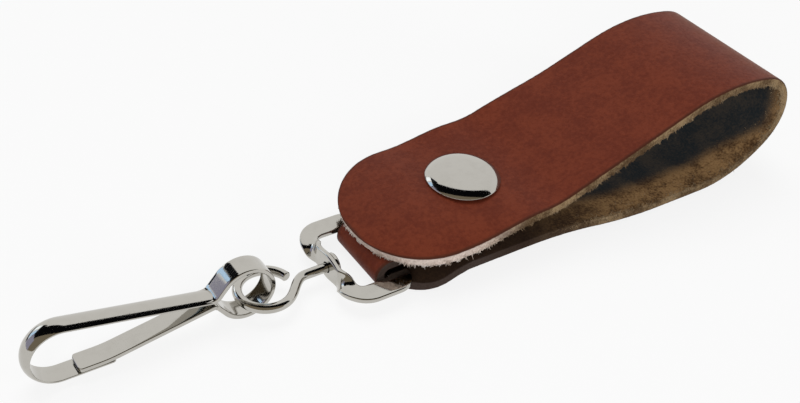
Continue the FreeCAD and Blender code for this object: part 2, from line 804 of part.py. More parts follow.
def make_hook_gate():
    """The spring leaf that closes the hook."""
    body = new_body("hook_gate")
    profile = new_sketch(body, "XZ_Plane", "leaf_profile")
    trail = gate_trail()
    draw(profile, trail.band(size("strip_thickness")))
    leaf = pad(body, profile, "sizes.gate_width", "leaf")
    tip = trail.points()[-1].x
    fillet(body, leaf, upright_at(tip, size("gate_width") / 2), "gate_corner_radius", "tip_corners")
    return body


# The strap and snap lie about the middle of the strap; the metal row hangs on the tongue's middle
strap_pieces = [
    make_strap_back(),
    make_strap_flap(),
    make_snap_cap(),
    make_snap_cap_post(),
    make_snap_socket(),
    make_snap_spring(),
    make_snap_stud(),
    make_snap_stud_post(),
]
hanging_pieces = [
    make_strap_bracket(),
    make_swivel_eye(),
    make_hook_body(),
    make_hook_gate(),
]
pieces = strap_pieces + hanging_pieces


def shift(piece, way):
    place = piece.Placement
    place.move(way)
    piece.Placement = place


row_middle = (bend_reach + nose_centre.x - size("nose_mean_radius") - spine_outer) / 2
for piece in strap_pieces:
    shift(piece, Vector(-row_middle, 0, 0))
for piece in hanging_pieces:
    shift(piece, Vector(-row_middle, size("tongue_offset"), 0))
document.recompute()

for item in document.Objects:
    if "Invalid" in item.State or "Error" in item.State:
        raise RuntimeError(f"{item.Name} failed: {item.State}")
for piece in pieces:
    if piece.Shape.isNull() or not piece.Shape.isValid():
        raise RuntimeError(f"{piece.Label} has no valid shape")

os.makedirs("parts", exist_ok=True)
for piece in pieces:
    piece.Shape.exportStep(f"parts/{piece.Label}.step")
    print(piece.Label, round(piece.Shape.Volume, 2), len(piece.Shape.Solids))
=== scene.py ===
# %% [markdown]
# # Belt key clip
# A leather strap is bent into a loop and closed by a press snap. A narrow tongue at its end holds a stamped
# bracket, and from that hang a swivel eye and a hook with a spring leaf.
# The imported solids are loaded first. They fix the main sizes and places, and all pieces are fitted to them.

# %% Load the solids
import json
import math

import bmesh
import bpy
import numpy as np
from mathutils import Euler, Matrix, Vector


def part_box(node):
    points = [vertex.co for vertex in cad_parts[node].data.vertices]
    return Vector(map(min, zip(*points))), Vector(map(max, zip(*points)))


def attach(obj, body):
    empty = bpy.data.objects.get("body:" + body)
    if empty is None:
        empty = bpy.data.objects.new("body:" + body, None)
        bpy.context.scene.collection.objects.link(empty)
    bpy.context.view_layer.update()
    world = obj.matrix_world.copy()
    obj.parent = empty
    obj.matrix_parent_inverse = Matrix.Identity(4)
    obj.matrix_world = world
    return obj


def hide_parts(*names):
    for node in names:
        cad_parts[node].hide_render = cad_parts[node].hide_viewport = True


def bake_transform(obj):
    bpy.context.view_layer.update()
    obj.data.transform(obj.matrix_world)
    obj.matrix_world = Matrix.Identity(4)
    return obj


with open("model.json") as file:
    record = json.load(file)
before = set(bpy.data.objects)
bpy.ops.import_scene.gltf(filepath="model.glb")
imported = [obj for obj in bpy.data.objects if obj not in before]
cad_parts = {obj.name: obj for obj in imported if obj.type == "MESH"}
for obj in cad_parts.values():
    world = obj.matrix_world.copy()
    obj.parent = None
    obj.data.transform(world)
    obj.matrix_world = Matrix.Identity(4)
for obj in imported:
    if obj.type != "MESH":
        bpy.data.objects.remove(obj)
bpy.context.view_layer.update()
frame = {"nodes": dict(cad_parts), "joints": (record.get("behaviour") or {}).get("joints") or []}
MM = 0.001
cap_low, cap_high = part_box("snap_cap")
SNAP_X = (cap_low.x + cap_high.x) / 2
joint_places = {joint["name"]: joint["pos_m"] for joint in frame["joints"]}
ROW_Y = joint_places["bracket_pivot"][1] / MM
print("solids:", len(frame["nodes"]), "snap axis at x =", round(SNAP_X / MM, 2), "mm")


# %% [markdown]
# ## Camera
# The camera stands where the photograph was taken: above the hook's near side, about 23 cm away.
# A picture of 800 by 403 with a focal length of 1145 pixels is a lens of 51.5 mm on a 36 mm sensor.

# %% Camera
scene = bpy.context.scene


def link_object(name, data):
    """A new object in the scene."""
    made = bpy.data.objects.new(name, data)
    scene.collection.objects.link(made)
    return made


CAMERA_PLACE = (-117.963 * MM + SNAP_X, -139.545 * MM, 146.979 * MM)
CAMERA_TURN = (51.771, -4.491, -32.960)
camera_data = bpy.data.cameras.new("camera")
camera_data.lens = 51.52
camera_data.sensor_width = 36.0
camera_data.sensor_fit = "HORIZONTAL"
camera_data.clip_start = 0.01
camera = link_object("camera", camera_data)
camera.location = CAMERA_PLACE
camera.rotation_euler = Euler([math.radians(angle) for angle in CAMERA_TURN])
scene.camera = camera
scene.view_settings.view_transform = "Standard"
print("camera", round((camera.location - Vector((SNAP_X, 0, 0))).length / MM), "mm from the snap")


# %% [markdown]
# ## Node helpers
# Every tree below is made of the same few actions: add a node, set its values, link its inputs.
# What comes out of a node is kept as a `Wire`, which can be added to or multiplied like a number. Each such
# action adds one more node, so a formula in the script is a row of nodes in the tree.

# %% Wires and nodes
def arithmetic(operation, number_first=False):
    """A sign for wires: it adds a math node that takes a wire, and a number or another wire."""
    def apply(first, second):
        values = (second, first) if number_first else (first, second)
        return wire(first.tree, "ShaderNodeMath", dict(enumerate(values)), operation=operation)
    return apply


class Wire:
    """The output of a node, with arithmetic that adds further nodes."""

    def __init__(self, tree, socket):
        self.tree = tree
        self.socket = socket

    __add__ = arithmetic("ADD")
    __sub__ = arithmetic("SUBTRACT")
    __rsub__ = arithmetic("SUBTRACT", number_first=True)
    __mul__ = arithmetic("MULTIPLY")
    __truediv__ = arithmetic("DIVIDE")
    __rtruediv__ = arithmetic("DIVIDE", number_first=True)
    __pow__ = arithmetic("POWER")

    def at_least(self, other):
        return arithmetic("MAXIMUM")(self, other)

    def at_most(self, other):
        return arithmetic("MINIMUM")(self, other)

    def shape(self, operation):
        """The wire's size or its sign, as ABSOLUTE or SIGN."""
        return wire(self.tree, "ShaderNodeMath", {0: self}, operation=operation)


def pick(sockets, name):
    """A socket by its name, or by its number, among those that the node's settings leave in use."""
    in_use = [socket for socket in sockets if socket.enabled]
    if isinstance(name, int):
        return in_use[name]
    return next(socket for socket in in_use if socket.name == name)


def join(value, socket):
    """Links a wire to a socket, or sets the socket to a plain value."""
    if isinstance(value, Wire):
        value.tree.links.new(value.socket, socket)
    else:
        socket.default_value = value


def add_node(tree, kind, inputs=None, **settings):
    """A node with its settings made and its inputs set or linked."""
    node = tree.nodes.new(kind)
    for name, value in settings.items():
        setattr(node, name, value)
    for name, value in (inputs or {}).items():
        join(value, pick(node.inputs, name))
    return node


def wire(tree, kind, inputs=None, output=0, **settings):
    """One output of a new node."""
    return Wire(tree, pick(add_node(tree, kind, inputs, **settings).outputs, output))


def new_tree(name, kind, inputs, outputs):
    """A tree with named inputs and outputs, and the wires that its inputs give."""
    tree = bpy.data.node_groups.new(name, kind)
    for way, sockets in (("INPUT", inputs), ("OUTPUT", outputs)):
        for label, socket in sockets.items():
            tree.interface.new_socket(label, in_out=way, socket_type="NodeSocket" + socket)
    given = add_node(tree, "NodeGroupInput").outputs
    return tree, {socket.name: Wire(tree, socket) for socket in given}


# %% Short names for common nodes
def vector_sum(first, *others):
    """Vectors added up."""
    for other in others:
        first = wire(first.tree, "ShaderNodeVectorMath", {0: first, 1: other}, operation="ADD")
    return first


def scaled(vector, factor):
    """A vector times a number."""
    return wire(vector.tree, "ShaderNodeVectorMath", {0: vector, "Scale": factor}, operation="SCALE")


def part(vector, axis):
    """One part of a vector."""
    return wire(vector.tree, "ShaderNodeSeparateXYZ", {0: vector}, axis)


def remap(value, low, high, to_low=0.0, to_high=1.0):
    """A value carried smoothly from one range to another, and held at its ends."""
    inputs = dict(enumerate((value, low, high, to_low, to_high)))
    return wire(value.tree, "ShaderNodeMapRange", inputs, interpolation_type="SMOOTHSTEP")


def noise(place, scale, detail, roughness=0.5, output="Fac"):
    """A cloudy pattern, coarse for a small scale and rich for a high detail."""
    inputs = {"Vector": place, "Scale": scale, "Detail": detail, "Roughness": roughness}
    return wire(place.tree, "ShaderNodeTexNoise", inputs, output)


def blend_colours(share, first, second):
    """Two colours mixed by a share."""
    return wire(share.tree, "ShaderNodeMix", {"Factor": share, "A": first, "B": second}, data_type="RGBA")


def colour(red, green, blue):
    """A colour given as it looks on a screen, 0 to 255, in the linear values that shaders use."""
    shares = [value / 255 for value in (red, green, blue)]
    linear = [s / 12.92 if s <= 0.04045 else ((s + 0.055) / 1.055) ** 2.4 for s in shares]
    return (*linear, 1.0)


def bare_tree(owner):
    """The node tree of a material or world, emptied."""
    owner.use_nodes = True
    owner.node_tree.nodes.clear()
    return owner.node_tree


# %% [markdown]
# ## Floor, backdrop and light
# The photograph has a white ground. The floor is pale and lit by the lamps. Part of its white is only seen
# and lights nothing, so that the object's own shadow stays soft. One wide lamp above and a little behind
# lights the leather evenly, and two smaller ones in front reach into the loop and under the flap. Polished
# metal mostly shows what is round it, so cards that only reflections can see stand in for the room: a dark
# ceiling, a dim wall and a dark beam give the black bands on the nickel, and a window its blue glints.

# %% Floor, backdrop and lamps
WHITE = (1.0, 1.0, 1.0, 1.0)
FILL_LIGHT = 0.30
FLOOR_HALF = 2.5
FLOOR_LEVEL = -0.0003
FLOOR_GREY = (0.62, 0.62, 0.62, 1.0)
FLOOR_GLOW = 1.05
FLOOR_SEEN = 0.80


def seen_share(tree):
    """1 for rays from the eye, or from mirrors and glass, and 0 for light that falls on the object."""
    path = add_node(tree, "ShaderNodeLightPath").outputs
    kinds = ("Is Camera Ray", "Is Glossy Ray", "Is Transmission Ray")
    eye_ray, mirror_ray, glass_ray = [Wire(tree, path[kind]) for kind in kinds]
    return eye_ray.at_least(mirror_ray).at_least(glass_ray)


def make_world():
    world = bpy.data.worlds.new("studio")
    tree = bare_tree(world)
    strength = remap(seen_share(tree), 0.0, 1.0, FILL_LIGHT, 1.0)
    ground = wire(tree, "ShaderNodeBackground", {"Color": WHITE, "Strength": strength})
    add_node(tree, "ShaderNodeOutputWorld", {"Surface": ground})
    scene.world = world


def stage_plane(name, corners):
    """A flat piece of the stage, with the tree of its own empty material."""
    mesh = bpy.data.meshes.new(name)
    mesh.from_pydata(corners, [], [tuple(range(len(corners)))])
    plane = link_object(name, mesh)
    material = bpy.data.materials.new(name)
    mesh.materials.append(material)
    return plane, bare_tree(material)


def make_floor():
    sides = ((-1, -1), (1, -1), (1, 1), (-1, 1))
    _, tree = stage_plane("floor", [(x * FLOOR_HALF, y * FLOOR_HALF, FLOOR_LEVEL) for x, y in sides])
    lit = wire(tree, "ShaderNodeBsdfDiffuse", {"Color": FLOOR_GREY})
    white = wire(tree, "ShaderNodeEmission", {"Color": WHITE, "Strength": FLOOR_GLOW})
    mixed = wire(tree, "ShaderNodeMixShader", {0: seen_share(tree) * FLOOR_SEEN, 1: lit, 2: white})
    add_node(tree, "ShaderNodeOutputMaterial", {"Surface": mixed})


def make_lamp(name, place, size, power):
    """A round lamp aimed at the object. Polished metal shows the cards instead of the lamps."""
    data = bpy.data.lights.new(name, "AREA")
    data.shape = "DISK"
    data.size = size
    data.energy = power
    lamp = link_object(name, data)
    lamp.location = place
    lamp.rotation_euler = (-Vector(place)).to_track_quat("-Z", "Y").to_euler()
    lamp.visible_glossy = False


make_world()
make_floor()
make_lamp("top_lamp", (0.05, 0.30, 0.85), 0.7, 4.2)
make_lamp("loop_lamp", (0.40, -0.60, 0.24), 0.25, 1.1)
make_lamp("front_lamp", (-0.45, -0.55, 0.36), 0.35, 2.6)
print("floor and lamps ready")


# %% Cards that reflections see
CAMERA_WAY = (0.645, 0.764)
CEILING_HEIGHT = 0.6
CEILING_SIDE = 1.5
CEILING_FRONT = -0.34
CEILING_BACK = 0.18
WALL_FOOT = (-0.7, 0.1)


def make_card(name, corners, tint, strength=1.0):
    card, tree = stage_plane(name, corners)
    glow = wire(tree, "ShaderNodeEmission", {"Color": (*tint, 1.0), "Strength": strength})
    add_node(tree, "ShaderNodeOutputMaterial", {"Surface": glow})
    for ray in ("camera", "diffuse", "shadow", "transmission"):
        setattr(card, "visible_" + ray, False)


def sky_patch(azimuths, elevations, distance):
    """The corners of a card that covers these angles, in degrees, as seen from the object."""
    corners = []
    for azimuth, elevation in zip((0, 1, 1, 0), (0, 0, 1, 1)):
        turn, lift = math.radians(azimuths[azimuth]), math.radians(elevations[elevation])
        flat = distance * math.cos(lift)
        corners.append((flat * math.cos(turn), flat * math.sin(turn), distance * math.sin(lift)))
    return corners


def ceiling_edge(ahead, height, side):
    """Two corners of the cards over the camera, this far ahead along its view, from one side to the other."""
    along, across = CAMERA_WAY
    return [(along * ahead + across * s, across * ahead - along * s, height) for s in (side, -side)]


front_edge = ceiling_edge(CEILING_FRONT, CEILING_HEIGHT, -CEILING_SIDE)
back_edge = ceiling_edge(CEILING_BACK, CEILING_HEIGHT, CEILING_SIDE)
make_card("dark_ceiling", front_edge + back_edge, (0.004, 0.004, 0.005))
make_card("dim_wall", front_edge + ceiling_edge(*WALL_FOOT, CEILING_SIDE), (0.26, 0.22, 0.16))
make_card("dark_beam", sky_patch((104, 150), (32, 52), 0.9), (0.01, 0.01, 0.012))
make_card("right_pane", sky_patch((107, 119), (11, 32), 0.8), (0.86, 0.93, 1.0), 2.0)
make_card("left_pane", sky_patch((123, 137), (11, 32), 0.8), (0.50, 0.72, 1.0), 1.6)
make_card("lilac_wall", sky_patch((139, 175), (4, 32), 0.8), (0.42, 0.42, 0.56))
make_card("dark_sill", sky_patch((104, 138), (1, 9), 0.8), (0.01, 0.02, 0.05))
print("cards ready")


# %% [markdown]
# ## Bent strips
# The strap, the bracket, the eye and the hook are all the same kind of thing: one section carried along a
# bent line. A Geometry Nodes tree does that. The line comes in as a chain of points, and each point carries
# its own directions: `across` for the strip's width, `side` for its thickness, and where its two edges lie.
# Working with stored directions is safer than a plain sweep, which can flip over at a sharp bend.

# %% Tree that sweeps a section along a line
VECTOR = "FLOAT_VECTOR"
EDGE_NOISE = 1400.0
EDGE_SEED = 0.37
DROOP_POWER = 2.2
GEOMETRY = {"Geometry": "Geometry"}


def stored(tree, name, kind="FLOAT"):
    """A value that the points carry."""
    return wire(tree, "GeometryNodeInputNamedAttribute", {"Name": name}, data_type=kind)


def keep(geometry, name, value, kind="FLOAT"):
    """The geometry with a value stored on its points."""
    inputs = {"Geometry": geometry, "Name": name, "Value": value}
    return wire(geometry.tree, "GeometryNodeStoreNamedAttribute", inputs, data_type=kind, domain="POINT")


def end_tree(geometry, material):
    """The last nodes of every tree: real geometry, its material, and the way out."""
    tree = geometry.tree
    whole = wire(tree, "GeometryNodeRealizeInstances", {"Geometry": geometry})
    finished = wire(tree, "GeometryNodeSetMaterial", {"Geometry": whole, "Material": material})
    add_node(tree, "NodeGroupOutput", {"Geometry": finished})
    tree.is_modifier = True
    return tree


def make_strip_tree():
    inputs = {"Section": "Object", "Material": "Material"}
    inputs.update(dict.fromkeys(("Width", "Thickness", "Raggedness", "Seed"), "Float"))
    tree, given = new_tree("bent_strip", "GeometryNodeTree", GEOMETRY | inputs, GEOMETRY)
    line = wire(tree, "GeometryNodeMeshToCurve", {"Mesh": given["Geometry"]})
    outline = wire(tree, "GeometryNodeObjectInfo", {"Object": given["Section"]}, "Geometry")
    ring = wire(tree, "GeometryNodeMeshToCurve", {"Mesh": outline})
    ring = keep(ring, "section_place", wire(tree, "GeometryNodeInputPosition"), VECTOR)
    swept = wire(tree, "GeometryNodeCurveToMesh", {"Curve": line, "Profile Curve": ring, "Fill Caps": True})

    section = stored(tree, "section_place", VECTOR)
    through = part(section, "Y")
    near, far = stored(tree, "near_edge"), stored(tree, "far_edge")
    share = part(section, "X") / given["Width"] + 0.5
    reach = near + (far - near) * share

    # A cut edge isn't quite straight: points near it are pushed in or out a little
    from_middle = (share - 0.5).shape("ABSOLUTE")
    middle = stored(tree, "middle", VECTOR)
    shift = wire(tree, "ShaderNodeCombineXYZ", {"X": given["Seed"], "Y": from_middle})
    waves = noise(vector_sum(middle, shift, section), EDGE_NOISE, 3.0)
    push = (waves - 0.5) * given["Raggedness"] * remap(from_middle, 0.47, 0.5)
    reach = reach + push * (share - 0.5).shape("SIGN")

    # Soft leather droops towards its edges
    off_middle = reach / (given["Width"] * 0.5)
    near_side = (off_middle * -1.0).at_least(0.0) ** DROOP_POWER
    far_side = off_middle.at_least(0.0) ** DROOP_POWER
    drop = near_side * stored(tree, "near_drop") + far_side * stored(tree, "far_drop")
    fall = wire(tree, "ShaderNodeCombineXYZ", {"Z": drop * -1.0})
    outward = scaled(stored(tree, "across", VECTOR), reach)
    moved = vector_sum(middle, outward, scaled(stored(tree, "side", VECTOR), through), fall)
    shaped = wire(tree, "GeometryNodeSetPosition", {"Geometry": swept, "Position": moved})

    # What the material needs to know: how far through the thickness a point is, and how far from the cut edge
    shaped = keep(shaped, "skin", through / (given["Thickness"] * 0.5))
    rim = (far - near) * 0.5 * (1.0 - from_middle * 2.0)
    shaped = keep(shaped, "rim", rim.at_most(stored(tree, "end_gap")))
    smooth = wire(tree, "GeometryNodeSetShadeSmooth", {"Geometry": shaped})
    return end_tree(smooth, given["Material"])


STRIP_TREE = make_strip_tree()
print("strip tree:", len(STRIP_TREE.nodes), "nodes")


# %% Helpers that feed the tree and keep its result
SHARP_ANGLE = math.radians(38)
DOUBLED = 1e-7
SIDE_POINTS = 5


def chain_object(name, points, closed):
    """Points joined in a row by edges."""
    mesh = bpy.data.meshes.new(name)
    edges = [(i, i + 1) for i in range(len(points) - 1)]
    if closed:
        edges.append((len(points) - 1, 0))
    mesh.from_pydata([tuple(p) for p in points], edges, [])
    return link_object(name, mesh)


def modified_mesh(host, modifier):
    """An object's mesh as its modifier makes it. The modifier is then removed."""
    bpy.context.view_layer.update()
    evaluated = host.evaluated_get(bpy.context.evaluated_depsgraph_get())
    mesh = bpy.data.meshes.new_from_object(evaluated)
    host.modifiers.remove(modifier)
    return mesh


def grown_mesh(host, tree, values, name):
    """Runs a tree on an object, and gives the result as a plain mesh on a new object."""
    modifier = host.modifiers.new(tree.name, "NODES")
    modifier.node_group = tree
    for item in tree.interface.items_tree:
        if item.in_out == "INPUT" and item.name in values:
            modifier[item.identifier] = values[item.name]
    mesh = modified_mesh(host, modifier)
    mesh.name = name
    return link_object(name, mesh)


def face_outwards(mesh):
    """Joins doubled points, turns every face outwards, and shades smooth except at sharp corners."""
    work = bmesh.new()
    work.from_mesh(mesh)
    bmesh.ops.remove_doubles(work, verts=work.verts, dist=DOUBLED)
    bmesh.ops.recalc_face_normals(work, faces=work.faces)
    work.to_mesh(mesh)
    work.free()
    mesh.shade_smooth()
    mesh.set_sharp_from_angle(angle=SHARP_ANGLE)


# %% Sections and strips
def arc(x, y, radius, angles):
    """Points on a circle round (x, y)."""
    return [(x + radius * math.cos(a), y + radius * math.sin(a)) for a in angles]


def rounded_box(width, thickness, top_round, base_round, columns):
    """The outline of a strip's section: a flat box with rounded corners, points close together across it."""
    half, high = width / 2, thickness / 2
    quarters = []
    for turn, (way_x, way_y) in enumerate(((1, 1), (-1, 1), (-1, -1), (1, -1))):
        radius = top_round if way_y > 0 else base_round
        angles = np.radians(np.linspace(90 * turn, 90 * turn + 90, SIDE_POINTS))
        quarters.append(arc(way_x * (half - radius), way_y * (high - radius), radius, angles))
    outline = []
    counts = (columns, SIDE_POINTS, columns, SIDE_POINTS)
    for here, following, count in zip(quarters, quarters[1:] + quarters[:1], counts):
        outline += here
        outline += [tuple(p) for p in np.linspace(here[-1], following[0], count)[1:-1]]
    return outline


def strip_line(x, y, z, across, side, edges, **lengths):
    """The arrays that the tree reads. Places and lengths come in millimetres, x from the snap's axis."""
    count = len(x)

    def table(*columns):
        return np.stack([np.broadcast_to(np.asarray(c, float), (count,)) for c in columns], axis=1)

    line = {"middle": table(x * MM + SNAP_X, y * MM, z * MM), "across": table(*across), "side": table(*side)}
    lengths.update(near_edge=edges[0], far_edge=edges[1])
    for key, value in lengths.items():
        line[key] = np.broadcast_to(value, (count,)) * MM
    return line


def make_strip(name, line, section, width, thickness, material, closed=False, raggedness=0.0):
    """A strip along a line, with a section of this width and thickness in millimetres."""
    chain = chain_object(name + "_line", line["middle"], closed)
    count = len(line["middle"])
    for key in ("middle", "across", "side"):
        values = np.asarray(line[key], np.float32).reshape(-1)
        chain.data.attributes.new(key, VECTOR, "POINT").data.foreach_set("vector", values)
    for key in ("near_edge", "far_edge", "near_drop", "far_drop", "end_gap"):
        values = np.asarray(line.get(key, np.zeros(count)), np.float32)
        chain.data.attributes.new(key, "FLOAT", "POINT").data.foreach_set("value", values)
    outline = chain_object(name + "_section", [(x * MM, y * MM, 0.0) for x, y in section], True)
    values = {"Section": outline, "Width": width * MM, "Thickness": thickness * MM, "Material": material}
    values.update({"Raggedness": raggedness * MM, "Seed": EDGE_SEED})
    piece = grown_mesh(chain, STRIP_TREE, values, name)
    for helper in (chain, outline):
        bpy.data.objects.remove(helper)
    face_outwards(piece.data)
    print(name, len(piece.data.polygons), "faces")
    return piece


# %% [markdown]
# ## The strap's line
# The strap is one strip. Its line starts at the flap's rounded tip, runs over the snap and up the incline,
# round the bend, back along the lower layer that arches under the snap, and ends as a tongue folded round
# the bracket. The sizes are in millimetres from the snap's axis. They are those of the solids, apart from
# the near shoulder, which reaches a little further forward here.

# %% Lines of runs and arcs
class Trail:
    """A line in the upright plane, made of straight runs and tangent arcs, kept as close points."""

    def __init__(self, x, z, heading):
        self.points = [(x, z, math.radians(heading))]

    def step(self, length, turn=0.0):
        x, z, heading = self.points[-1]
        middle = heading + turn / 2
        self.points.append((x + length * math.cos(middle), z + length * math.sin(middle), heading + turn))

    def run(self, length, pitch=0.2):
        count = max(1, math.ceil(length / pitch))
        for _ in range(count):
            self.step(length / count)
        return self

    def turn(self, radius, degrees, pitch=0.2):
        """An arc to the left, or to the right for negative degrees."""
        angle = math.radians(degrees)
        count = max(4, math.ceil(abs(angle) * radius / pitch))
        swing = angle / count
        for _ in range(count):
            self.step(2 * radius * math.sin(abs(swing) / 2), swing)
        return self

    def climb(self, run, height, first=1):
        """Two equal arcs that climb this high over this run, first to the left, or to the right for -1."""
        angle = 2 * math.degrees(math.atan2(height, run))
        radius = run / (2 * math.sin(math.radians(angle)))
        return self.turn(radius, first * angle).turn(radius, -first * angle)

    def rows(self):
        """x, z and heading of the points, and their distance along the line."""
        table = np.array(self.points)
        steps = np.hypot(np.diff(table[:, 0]), np.diff(table[:, 1]))
        return table[:, 0], table[:, 1], table[:, 2], np.concatenate([[0.0], np.cumsum(steps)])


def smooth_step(value, low, high):
    share = np.clip((value - low) / (high - low), 0.0, 1.0)
    return share * share * (3 - 2 * share)


# %% Sizes of the strap
STRAP_WIDTH = 31.75
LEATHER = 1.9
TIP_FLAT = 1.75
TIP_RADIUS = 47.0
TIP_TURN = 22.0
FLAP_START = -8.0
FLAP_RUN = 16.0
FLAP_TOP = 11.5
LIFT_RADIUS = 20.0
SLOPE = 20.5
CREST_RADIUS = 40.0
CREST_TURN = 32.5
LOOP_TOP = 26.3
BEND_RADIUS = 10.6
BEND_TURN = 78.0
UNDER_TURN = 45.0
ARCH = 3.2
ARCH_FRONT = 7.5
ARCH_REAR = 6.0
REAR_RISE = 36.0
FRONT_RISE = 11.0
FOLD = 1.25
FOLD_END = -25.7
BAR_END = -19.0
LAYER_GAP = 0.1
TONGUE_WIDTH = 14.4
TONGUE_FLAT = 2.4
TONGUE_TAIL = 9.5
SHOULDER = 14.0
FAR_SHOULDER = 11.0
SHOULDER_X = -24.2
FAR_SHOULDER_X = -20.8
SPLIT_X = 52.0
print("strap", STRAP_WIDTH, "mm wide, tongue", TONGUE_WIDTH, "mm wide")


# %% Line of the strap
def strap_line():
    """The whole strap from the flap's tip to the tongue's end, as x, z, heading and distance."""
    half = LEATHER / 2
    tip_radius = TIP_RADIUS - half
    tip_angle, slope, under = [math.radians(angle) for angle in (TIP_TURN, SLOPE, UNDER_TURN)]
    tip_x = FLAP_START - tip_radius * math.sin(tip_angle)
    tip_z = FLAP_TOP - half - tip_radius * (1 - math.cos(tip_angle))
    arcs_rise = (LIFT_RADIUS + CREST_RADIUS) * (1 - math.cos(slope))
    trail = Trail(tip_x, tip_z, TIP_TURN)
    trail.turn(tip_radius, -TIP_TURN).run(FLAP_RUN)
    trail.turn(LIFT_RADIUS + half, SLOPE).run((LOOP_TOP - FLAP_TOP - arcs_rise) / math.sin(slope))
    trail.turn(CREST_RADIUS - half, -CREST_TURN).turn(BEND_RADIUS - half, -BEND_TURN)
    hinge_x, hinge_z, _ = trail.points[-1]
    trail.turn(BEND_RADIUS - half, -UNDER_TURN)
    low = hinge_z - BEND_RADIUS * math.sin(under)
    trail.turn(low / (1 - math.cos(under)) - half, -UNDER_TURN)
    trail.run(trail.points[-1][0] - ARCH_REAR - REAR_RISE)
    trail.climb(REAR_RISE, ARCH, -1).run(ARCH_REAR + ARCH_FRONT).climb(FRONT_RISE, ARCH)
    fold_x = FOLD_END + LEATHER + FOLD
    trail.run(trail.points[-1][0] - fold_x)
    trail.turn(FOLD + half, -180.0).run(BAR_END - fold_x)
    trail.climb(-ARCH_FRONT - BAR_END, ARCH + LAYER_GAP - 2 * FOLD).run(ARCH_FRONT + TONGUE_TAIL)
    print("bend's outermost line at", round(hinge_x + half, 2), round(hinge_z, 2))
    return trail.rows()


strap_x, strap_z, strap_heading, strap_s = strap_line()
STRAP_LENGTH = strap_s[-1]
LOW_START = strap_s[np.argmax((strap_heading < math.radians(-100)) & (strap_x < SPLIT_X))]
FOLD_START = strap_s[np.argmax(strap_heading < math.radians(-200))]
print("strap is", round(STRAP_LENGTH, 1), "mm long, split for bending at", round(LOW_START, 1))


# %% [markdown]
# ## Leather
# The strap is oiled leather: a smooth red-brown grain side with fine pores, a fuzzy flesh side, and raw
# edges where the knife went through. One material shows all three. The sweep stored how far through the
# thickness a point lies (`skin`) and how far from the cut (`rim`), and those choose between the three
# patterns. The pattern itself is a node group, because each of the three, and the loose fibres, use it with
# other values.

# %% Pattern shared by the hide's surfaces
def object_place(tree):
    return wire(tree, "ShaderNodeTexCoord", None, "Object")


def make_hide_group():
    inputs = {"Light": "Color", "Deep": "Color", "Size": "Float", "Patches": "Float"}
    group, given = new_tree("hide_pattern", "ShaderNodeTree", inputs, {"Color": "Color", "Height": "Float"})
    place = object_place(group)
    fine_place = scaled(place, 1.0 / given["Size"])
    fine = noise(fine_place, 1.0, 6.0, 0.62)
    pores = wire(group, "ShaderNodeTexVoronoi", {"Vector": fine_place, "Scale": 1.3, "Randomness": 1.0})
    patch = remap(noise(place, 150.0, 4.0, 0.6), 0.34, 0.66)
    share = remap((patch - 0.5) * given["Patches"] + fine, 0.25, 0.75)
    mixed = blend_colours(share, given["Deep"], given["Light"])
    height = fine * 0.65 + remap(pores, 0.0, 0.35) * 0.35
    add_node(group, "NodeGroupOutput", {"Color": mixed, "Height": height})
    return group


HIDE_GROUP = make_hide_group()
print("hide pattern:", len(HIDE_GROUP.nodes), "nodes")


def use_group(tree, group, values):
    """What a shared pattern gives for these values."""
    node = add_node(tree, "ShaderNodeGroup", values, node_tree=group)
    return {socket.name: Wire(tree, socket) for socket in node.outputs}


def hide_pattern(tree, light, deep, size, patches):
    values = {"Light": colour(*light), "Deep": colour(*deep), "Size": size, "Patches": patches}
    return use_group(tree, HIDE_GROUP, values)


# %% Leather material
def new_material(name):
    """A material with its tree and its main shader."""
    material = bpy.data.materials.new(name)
    material.use_nodes = True
    return material, material.node_tree, material.node_tree.nodes["Principled BSDF"]


def feed(shader, values):
    for name, value in values.items():
        join(value, shader.inputs[name])


def relief(height, strength, distance):
    """The surface direction over small bumps of this height."""
    return wire(height.tree, "ShaderNodeBump", {"Height": height, "Strength": strength, "Distance": distance})


def surface_value(tree, name):
    return wire(tree, "ShaderNodeAttribute", None, "Fac", attribute_name=name)


